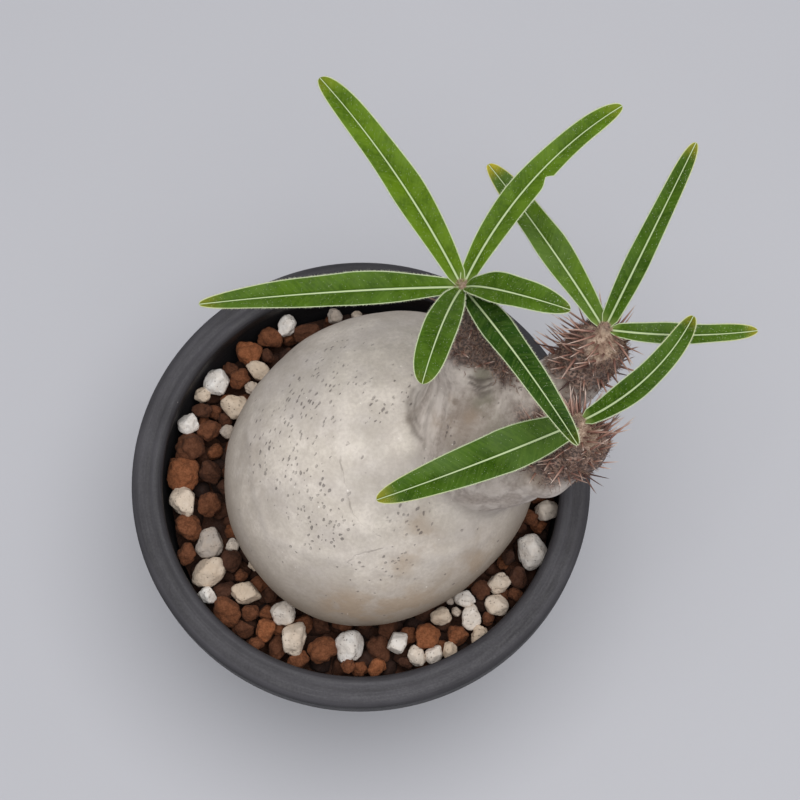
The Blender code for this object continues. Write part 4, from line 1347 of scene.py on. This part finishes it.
def spine_finish():
    """Horny needles: dark red at the root, tan towards a pale tip; shade says how old and dark one is."""
    made, tree, point = new_finish("spine_red_tan", 0.45)
    along = kept_number(tree, "along")
    shade = kept_number(tree, "shade")
    bands, band_height = mottle(tree, point, 0.0012, 4.0)
    colour = coats(
        tree, coat(tree, ease(tree, along, 0.0, 0.6), tone(96, 54, 47), tone(184, 144, 128)),
        (ease(tree, along, 0.5, 1.0), 0.9, tone(232, 216, 204)),
        (bands, 0.25, tone(150, 98, 82)),
        (ease(tree, shade, 0.45, 1.0), 1.0, tone(74, 50, 46)),
    )
    return finished(made, colour, ease(tree, shade, low=0.38, high=0.8), band_height, 0.00006)


draw = random.Random(5)
leaf_shapes = leaf_tree()
spines = new_growth()
for key, (branch, start, count, length) in CUSHIONS.items():
    sway = Vector(SPINE_SWAY[key])
    for foot, out, axis, share in cushion_feet[key]:
        young = (share - start) / (CUSHIONS_END - start)
        across = axis.cross(out)
        lean = math.radians(draw.uniform(*SPINE_LEANS) + YOUNG_LEAN * young)
        for hand in (-1, 1):
            spread = math.radians(draw.uniform(*SPINE_SPREADS)) * hand
            direction = out * math.cos(lean) + axis * math.sin(lean)
            direction = direction * math.cos(spread) + across * math.sin(spread)
            direction = (direction + sway * draw.uniform(0.3, 1.2)).normalized()
            here = foot + across * PAIR_GAP * hand
            grown = OLD_LENGTH + (1 - OLD_LENGTH) * min(1, 2.5 * young)
            whole = length * draw.uniform(*SPINE_LENGTHS) * grown
            whole *= 1 + SPINE_STRETCH * max(0, direction.dot(sway.normalized()))
            reach = clear_length(here, direction, whole, leaf_shapes)
            room = bark_distance(np.array([tuple(here + direction * LOOKOUT)]))[0]
            if reach > SHORTEST_SPINE * length and room > SPINE_ROOM:
                bend = axis * draw.uniform(-0.05, 0.12) + across * draw.uniform(-0.08, 0.08)
                shade = min(max(draw.uniform(-0.2, 1.1) + 0.6 * (0.4 - young), 0), 1)
                radius = SPINE_RADIUS * draw.uniform(*SPINE_WIDTHS)
                needle(spines, here, direction, reach, radius, bend, shade)
dress(grown_piece("spines", spines), spine_finish(), "caudex")


# Wool grows on the crowns and round the foot of each pair of spines: short curled tan hairs, which turn into
# a grey and brown felt of dead fibres further down the branches.
HAIR_RADIUS = 0.00006
CROWN_HAIRS = 600
CROWN_HAIR_LENGTHS = (0.0007, 0.0018)
CROWN_TOP_LENGTHS = (0.0003, 0.0008)
CUSHION_HAIRS = 10
CUSHION_HAIR_LENGTHS = (0.0007, 0.0016)
CUSHION_SCATTER = 0.0005
# Dead fibres: from and to which share of each branch, and how many are tried
FIBRES = {"a": (0.16, 0.95, 3600), "b": (0.34, 0.92, 2200), "c": (0.30, 0.92, 2600)}
FIBRE_LENGTHS = (0.0008, 0.0026)
FIBRE_RADII = (0.00004, 0.00010)
FIBRE_EDGE = (-0.0035, 0.0018)  # depths in the head between which the felt thins out
PALE_REACH = 0.0066  # fibres nearer than this to the young wool are paler


def hair(growth, foot, direction, length, radius, curl, shade, draw):
    """A thin curled hair of three stretches."""
    path = [foot]
    way = direction.copy()
    for _ in range(3):
        path.append(path[-1] + way * length / 3)
        way = (way + any_way(draw) * curl).normalized()
    grow(growth, path, [radius, 0.85 * radius, 0.6 * radius, 0], 3, shade)


def wool_finish():
    """Matted plant wool, pale tan when young and grey brown when dead."""
    made, tree, point = new_finish("wool_tan", 0.95)
    shade = kept_number(tree, "shade")
    clumps, clump_height = mottle(tree, point, 0.0014, 4.0)
    colour = coats(
        tree, coat(tree, ease(tree, shade, 0.0, 0.5), tone(210, 184, 160), tone(150, 118, 100)),
        (ease(tree, shade, 0.45, 1.0), 1.0, tone(76, 50, 43)),
        (clumps, 0.35, tone(120, 80, 68)),
    )
    return finished(made, colour, ease(tree, clumps, low=0.85, high=1.0), clump_height, 0.00010)


def feet_round(branch, low, high, number, draw):
    """Feet scattered over a stretch of a branch, and the way out from the branch at each."""
    places = []
    ways = []
    for _ in range(number):
        centre, radius, axis = point_along(branch, draw.uniform(low, high))
        side = any_way(draw)
        way = (side - axis * side.dot(axis)).normalized()
        places.append(centre + way * radius)
        ways.append(way)
    return list(zip(feet_on_bark(places), ways))


wool = new_growth()
for key, (branch, start, _, _) in CUSHIONS.items():
    crown, _, axis = point_along(branch, 1.0)
    for foot, out in feet_round(branch, 0.88, 1.0, CROWN_HAIRS, draw):
        way = (out * 0.5 + axis * 0.6 + any_way(draw) * 0.6).normalized()
        length = draw.uniform(*CROWN_HAIR_LENGTHS)
        hair(wool, foot, way, length, HAIR_RADIUS, 0.7, draw.uniform(0.0, 0.6), draw)
    for _ in range(CROWN_HAIRS // 2):
        way = (any_way(draw) + axis * 0.7).normalized()
        length = draw.uniform(*CROWN_TOP_LENGTHS)
        hair(wool, crown + way * CROWN_RADIUS, way, length, HAIR_RADIUS, 0.9, draw.uniform(0.0, 0.4), draw)
    for foot, out, axis, share in cushion_feet[key]:
        young = (share - start) / (CUSHIONS_END - start)
        for _ in range(CUSHION_HAIRS):
            way = (out + any_way(draw) * 0.8).normalized()
            shade = min(max(0.75 - 0.6 * young + draw.uniform(-0.2, 0.2), 0), 1)
            root = foot + any_way(draw) * CUSHION_SCATTER
            hair(wool, root, way, draw.uniform(*CUSHION_HAIR_LENGTHS), HAIR_RADIUS, 0.6, shade, draw)
    fibre_feet = feet_round(branch, *FIBRES[key], draw)
    depths = head_depth(np.array([tuple(foot) for foot, _ in fibre_feet]), key)
    wool_middle = crown + Vector(HEADS[key][3])
    for (foot, out), depth in zip(fibre_feet, depths):
        if depth > draw.uniform(*FIBRE_EDGE):
            way = (out * 0.6 + any_way(draw) * 0.8).normalized()
            radius = draw.uniform(*FIBRE_RADII)
            paler = 0.75 * max(0, 1 - (foot - wool_middle).length / PALE_REACH)
            shade = max(draw.uniform(0.2, 1.0) - paler, 0.05)
            hair(wool, foot, way, draw.uniform(*FIBRE_LENGTHS), radius, 1.0, shade, draw)
dress(grown_piece("wool", wool), wool_finish(), "caudex")


# Each leaf grows from a crown on a short stalk: a narrow green blade folded along a pale midrib that stands
# out underneath, with a pale hairy margin, faint cross veins and short white hairs all over.
LEAF_START = 0.0032
STALK_ROOT = 0.0008  # how far from the crown's middle a stalk begins, inside the wool
# Crown, bearing and its change along the leaf, rise at the stalk and droop along the leaf (degrees), length
# and width (m); then, as shares, how wide it is at its foot, where it is widest and how much it narrows from
# there, and how blunt its tip is; and how dark, hazy and yellow at its tip it looks.
LEAVES = {
    "leaf_a1": (BRANCH_A, 120.6, 10, 24, 22, 0.0550, 0.0082, 0.52, 0.42, 0.30, 8, 0.00, 0.2, 0.2),
    "leaf_a2": (BRANCH_A, 61, -30, 24, 18, 0.0523, 0.0070, 0.55, 0.40, 0.30, 8, 0.12, 0.2, 0.2),
    "leaf_a3": (BRANCH_A, 187, -2.2, 16, 22, 0.0572, 0.0082, 0.48, 0.40, 0.42, 4, 0.42, 0.4, 0.3),
    "leaf_a4": (BRANCH_A, 328, 19, 60, 78, 0.0276, 0.0077, 0.42, 0.45, 0.22, 3, 0.48, 0.2, 0.1),
    "leaf_a5": (BRANCH_A, 247, 8, 48, 50, 0.0300, 0.0077, 0.38, 0.55, 0.02, 3.2, 0.56, 0.3, 0.1),
    "leaf_a6": (BRANCH_A, 302.6, 0, 22, 32, 0.0440, 0.0074, 0.55, 0.28, 0.42, 6, 1.25, 0.1, 0.1),
    "leaf_b1": (BRANCH_B, 121, 4, 6, 10, 0.0463, 0.0081, 0.50, 0.46, 0.38, 6, 0.25, 0.9, 1.0),
    "leaf_b2": (BRANCH_B, 62, 1.5, 30, 24, 0.0456, 0.0059, 0.70, 0.33, 0.34, 8, 0.66, 0.3, 0.5),
    "leaf_b3": (BRANCH_B, 348, 21, 14, 18, 0.0327, 0.0055, 0.62, 0.35, 0.32, 8, 0.46, 0.5, 0.6),
    "leaf_c1": (BRANCH_C, 206, -8, 12, 18, 0.0474, 0.0105, 0.60, 0.35, 0.42, 5, 0.72, 0.7, 0.5),
    "leaf_c2": (BRANCH_C, 20.5, 42, 30, 20, 0.0337, 0.0063, 0.62, 0.40, 0.25, 6, 0.70, 0.3, 0.4),
}
LEAF_FOLD = 0.38
LEAF_WAVE = 0.00022
LEAF_WAVES = 2.6
LEAF_UNEVENNESS = 0.00006
BLADE_THICKNESS = 0.0006
MARGIN_THICKNESS = 0.00022
RIB_WIDTH = 0.0008
RIB_DEPTH = 0.0005
RIB_GROOVE = 0.00012
NICKED_LEAF = "leaf_a2"
NICK = (0.545, 0.022, 0.40)  # where along that leaf, how broad and how deep, as shares
BLADE_STATIONS = 76
ACROSS = (0, 0.035, 0.08, 0.14, 0.24, 0.36, 0.50, 0.64, 0.78, 0.88, 0.95, 1.0)
MARGIN_INSET = 0.00008  # how far the underside stays inside the margin
LEAF_NOTES = ("rib", "margin", "share", "under")


def heading(bearing, sweep, rise, droop, share):
    """The way in which a leaf runs at a share of its length."""
    turn = math.radians(bearing + sweep * share)
    lift = math.radians(rise - droop * share)
    return Vector((math.cos(lift) * math.cos(turn), math.cos(lift) * math.sin(turn), math.sin(lift)))


def half_width(share, width, foot, widest, taper, blunt):
    """Half the blade's width at a share of its length; before 0 it is the stalk."""
    if share < widest:
        swell = foot + (1 - foot) * math.sin(0.5 * math.pi * max(share, 0) / widest)
        return 0.5 * width * swell * max(0.35, 1 + 10 * min(share, 0))
    onward = (share - widest) / (1 - widest)
    return 0.5 * width * (1 - taper * onward) * math.sqrt(1 - onward**blunt)


def leaf_stations(name):
    """(centre, share) along the midrib, from inside the wool to the tip."""
    branch, bearing, sweep, rise, droop, length = LEAVES[name][:6]
    crown = Vector(branch[-1][0])
    start = heading(bearing, sweep, rise, droop, 0)
    reaches = np.linspace(STALK_ROOT, LEAF_START, 6)[:-1]
    stations = [(crown + start * reach, (reach - LEAF_START) / length) for reach in reaches]
    shares = [0.5 * step + 0.5 * math.sin(0.5 * math.pi * step) for step in np.linspace(0, 1, BLADE_STATIONS)]
    centre = crown + start * LEAF_START
    stations.append((centre, 0.0))
    for before, share in zip(shares, shares[1:]):
        way = heading(bearing, sweep, rise, droop, 0.5 * (before + share))
        centre = centre + way * (share - before) * length
        stations.append((centre, share))
    return stations


def blade_point(name, number, share, u, half):
    """Across and up from the midrib to the blade's top at u, -1 to 1, and the blade's thickness there."""
    reach = half * u
    begun = min(1, 6 * max(share, 0))
    if name == NICKED_LEAF and u > 0:
        spread = NICK[1] * (1.5 if share < NICK[0] else 0.5)
        reach *= 1 - NICK[2] * math.exp(-(((share - NICK[0]) / spread) ** 2))
    phase = 2 * math.pi * (LEAF_WAVES * share + 0.17 * number) + u
    wave = LEAF_WAVE * math.sin(phase) * abs(u) * begun
    lift = LEAF_FOLD * half * (1.5 * abs(u) - 0.5 * u * u) + wave
    rib = math.exp(-((reach / (0.5 * RIB_WIDTH * (1.2 - 0.6 * share))) ** 2))
    lift -= RIB_GROOVE * rib
    lift += LEAF_UNEVENNESS * noise.noise(Vector((share * 40, 4 * u, number))) * begun
    thickness = MARGIN_THICKNESS + (BLADE_THICKNESS - MARGIN_THICKNESS) * (1 - u * u)
    thickness += RIB_DEPTH * (1 - 0.7 * share) * rib
    return reach, lift, min(thickness, 1.2 * half + 0.0002)


def make_leaf(name, number):
    """The blade as a closed skin. For each point it keeps the distances (mm) from rib and margin, the share
    of the blade's length and whether the point is underneath."""
    outline = LEAVES[name][6:11]
    stations = leaf_stations(name)
    row = [-u for u in ACROSS[:0:-1]] + list(ACROSS)
    bm = bmesh.new()
    notes = []
    rings = []
    for k, (centre, share) in enumerate(stations[:-1]):
        along = (stations[k + 1][0] - stations[max(k - 1, 0)][0]).normalized()
        side = along.cross(Vector((0, 0, 1))).normalized()
        up = side.cross(along)
        half = half_width(share, *outline)
        ring = []
        for u in row + row[::-1]:
            under = len(ring) >= len(row)
            reach, lift, thickness = blade_point(name, number, share, u, half)
            drop = thickness if under else 0
            inset = 1 - (MARGIN_INSET / half if under and abs(u) == 1 else 0)
            ring.append(bm.verts.new(centre + side * reach * inset + up * (lift - drop)))
            notes.append((1000 * abs(reach), 1000 * (half * (1 - abs(u))), share, float(under)))
        rings.append(ring)
    tip = bm.verts.new(stations[-1][0])
    notes.append((0, 0, 1, 0))
    count = len(rings[0])
    for near, far in zip(rings, rings[1:]):
        for j in range(count):
            bm.faces.new((near[j], near[(j + 1) % count], far[(j + 1) % count], far[j]))
    for j in range(count):
        bm.faces.new((rings[-1][j], rings[-1][(j + 1) % count], tip))
    bm.faces.new(rings[0][::-1])
    leaf = new_object(name.replace("leaf", "blade"), bm)
    for label, values in zip(LEAF_NOTES, zip(*notes)):
        paint(leaf, label, values)
    return leaf


def leaf_finish(name, dark, haze, yellow):
    """A waxy green leaf; dark, haze and yellow set how this one differs from its neighbours."""
    made, tree, point = new_finish(f"{name}_green", 0.42)
    tree.nodes["Principled BSDF"].inputs["Specular IOR Level"].default_value = 0.08
    rib, margin, share, under = [kept_number(tree, label) for label in LEAF_NOTES]
    light = [90 - 42 * dark, 119 - 40 * dark, 20 - 6 * dark]
    deep = [68 - 34 * dark, 95 - 34 * dark, 12 - 4 * dark]
    patches, _ = mottle(tree, point, 0.006, 3.5)
    grain, grain_height = mottle(tree, point, 0.0007, 5.0)
    film, _ = mottle(tree, point, 0.011, 4.0)
    slanted = add(tree, "ShaderNodeCombineXYZ", {
        "X": total(tree, (share, 46.0), (rib, -0.8)), "Y": maths(tree, "MULTIPLY", rib, 0.16),
    }).outputs[0]
    veins, vein_height = mottle(tree, slanted, 0.9, 5.0)
    ratio = maths(tree, "DIVIDE", rib, ease(tree, share, low=0.25, high=0.11))
    # A dark band along each side of the midrib: painted shade of the groove there, which the bump also sinks.
    groove = maths(tree, "MULTIPLY", ease(tree, ratio, 2.4, 1.4), 0.30)
    yellowing = maths(tree, "MULTIPLY", ease(tree, share, 0.5, 1.0), yellow)
    edge = coat(tree, yellowing, tone(202, 214, 172), tone(214, 208, 128))
    colour = coats(
        tree, coat(tree, patches, tone(*light), tone(*deep)),
        (grain, 0.30, tone(light[0] + 12, light[1] + 12, light[2] + 8)),
        (film, 0.42 * haze, tone(100, 124, 70)),
        (veins, 0.12, tone(124, 150, 66)),
        (specks(tree, point, 0.0011, 0.22, 0.12), 0.45, tone(200, 212, 176)),
        (ease(tree, share, 0.88, 1.0), 0.75 * yellow, tone(196, 176, 52)),
        (ease(tree, share, 0.03, -0.05), 0.45, tone(156, 172, 100)),
        (under, 0.55, tone(138, 160, 104)),
        # Painted shade in the midrib's groove.
        (groove, 1.0, tone(46, 76, 18)),
        (ease(tree, ratio, 1.15, 0.75), 0.92, tone(196, 210, 166)),
        (ease(tree, margin, 0.27, 0.11), 0.88, edge),
    )
    height = total(tree, (vein_height, 1.2), (grain_height, 0.5), (groove, -1.0))
    return finished(made, colour, ease(tree, grain, low=0.40, high=0.58), height, 0.00012)


# The leaves' hairs are fine and glassy, dense along both margins and scattered over the top, and all leaves'
# hairs are one piece.
MARGIN_HAIR_PITCH = 0.00016
FACE_HAIRS = 280
LEAF_HAIR_RADIUS = 0.000035
LEAF_HAIR_ROOT = 0.00006
MARGIN_HAIR_LENGTHS = (0.00022, 0.00055)
FACE_HAIR_LENGTHS = (0.00015, 0.00034)


def leaf_hairs(growth, name, number, draw):
    """Short white hairs along both margins of a blade and scattered over its top."""
    outline = LEAVES[name][6:11]
    length = LEAVES[name][5]
    stations = leaf_stations(name)
    margin_shares = np.arange(0.02, 0.995, 0.5 * MARGIN_HAIR_PITCH / length)
    places = [(share, draw.choice((-1.0, 1.0))) for share in margin_shares]
    places += [(draw.uniform(0.03, 0.97), draw.uniform(-0.95, 0.95)) for _ in range(FACE_HAIRS)]
    shares = [share for _, share in stations]
    for share, u in places:
        k = max(int(np.searchsorted(shares, share)) - 1, 0)
        (near, near_share), (far, far_share) = stations[k], stations[k + 1]
        part = (share - near_share) / max(far_share - near_share, 1e-6)
        along = (far - near).normalized()
        side = along.cross(Vector((0, 0, 1))).normalized()
        up = side.cross(along)
        reach, lift, _ = blade_point(name, number, share, u, half_width(share, *outline))
        foot = near.lerp(far, part) + side * reach + up * lift
        if abs(u) == 1:
            way = side * u + up * draw.uniform(-0.5, 0.6) + along * draw.uniform(-0.3, 0.9)
            size = draw.uniform(*MARGIN_HAIR_LENGTHS)
        else:
            way = up + side * draw.uniform(-0.8, 0.8) + along * draw.uniform(-0.2, 1.4)
            size = draw.uniform(*FACE_HAIR_LENGTHS)
        way.normalize()
        path = [foot - way * LEAF_HAIR_ROOT, foot + way * size]
        grow(growth, path, [LEAF_HAIR_RADIUS], 3, draw.uniform(0, 1))


def leaf_hair_finish():
    made, tree, point = new_finish("leaf_hair_white", 0.5)
    tint, _ = mottle(tree, point, 0.003)
    colour = coat(tree, tint, tone(214, 222, 190), tone(236, 238, 220))
    colour = coats(tree, colour, (kept_number(tree, "shade"), 0.4, tone(206, 206, 160)))
    return finished(made, colour, ease(tree, tint, low=0.45, high=0.6))


draw = random.Random(19)
fringe = new_growth()
for number, name in enumerate(LEAVES):
    dress(make_leaf(name, number), leaf_finish(name, *LEAVES[name][11:]), name)
    leaf_hairs(fringe, name, number, draw)
dress(grown_piece("leaf_hairs", fringe), leaf_hair_finish())
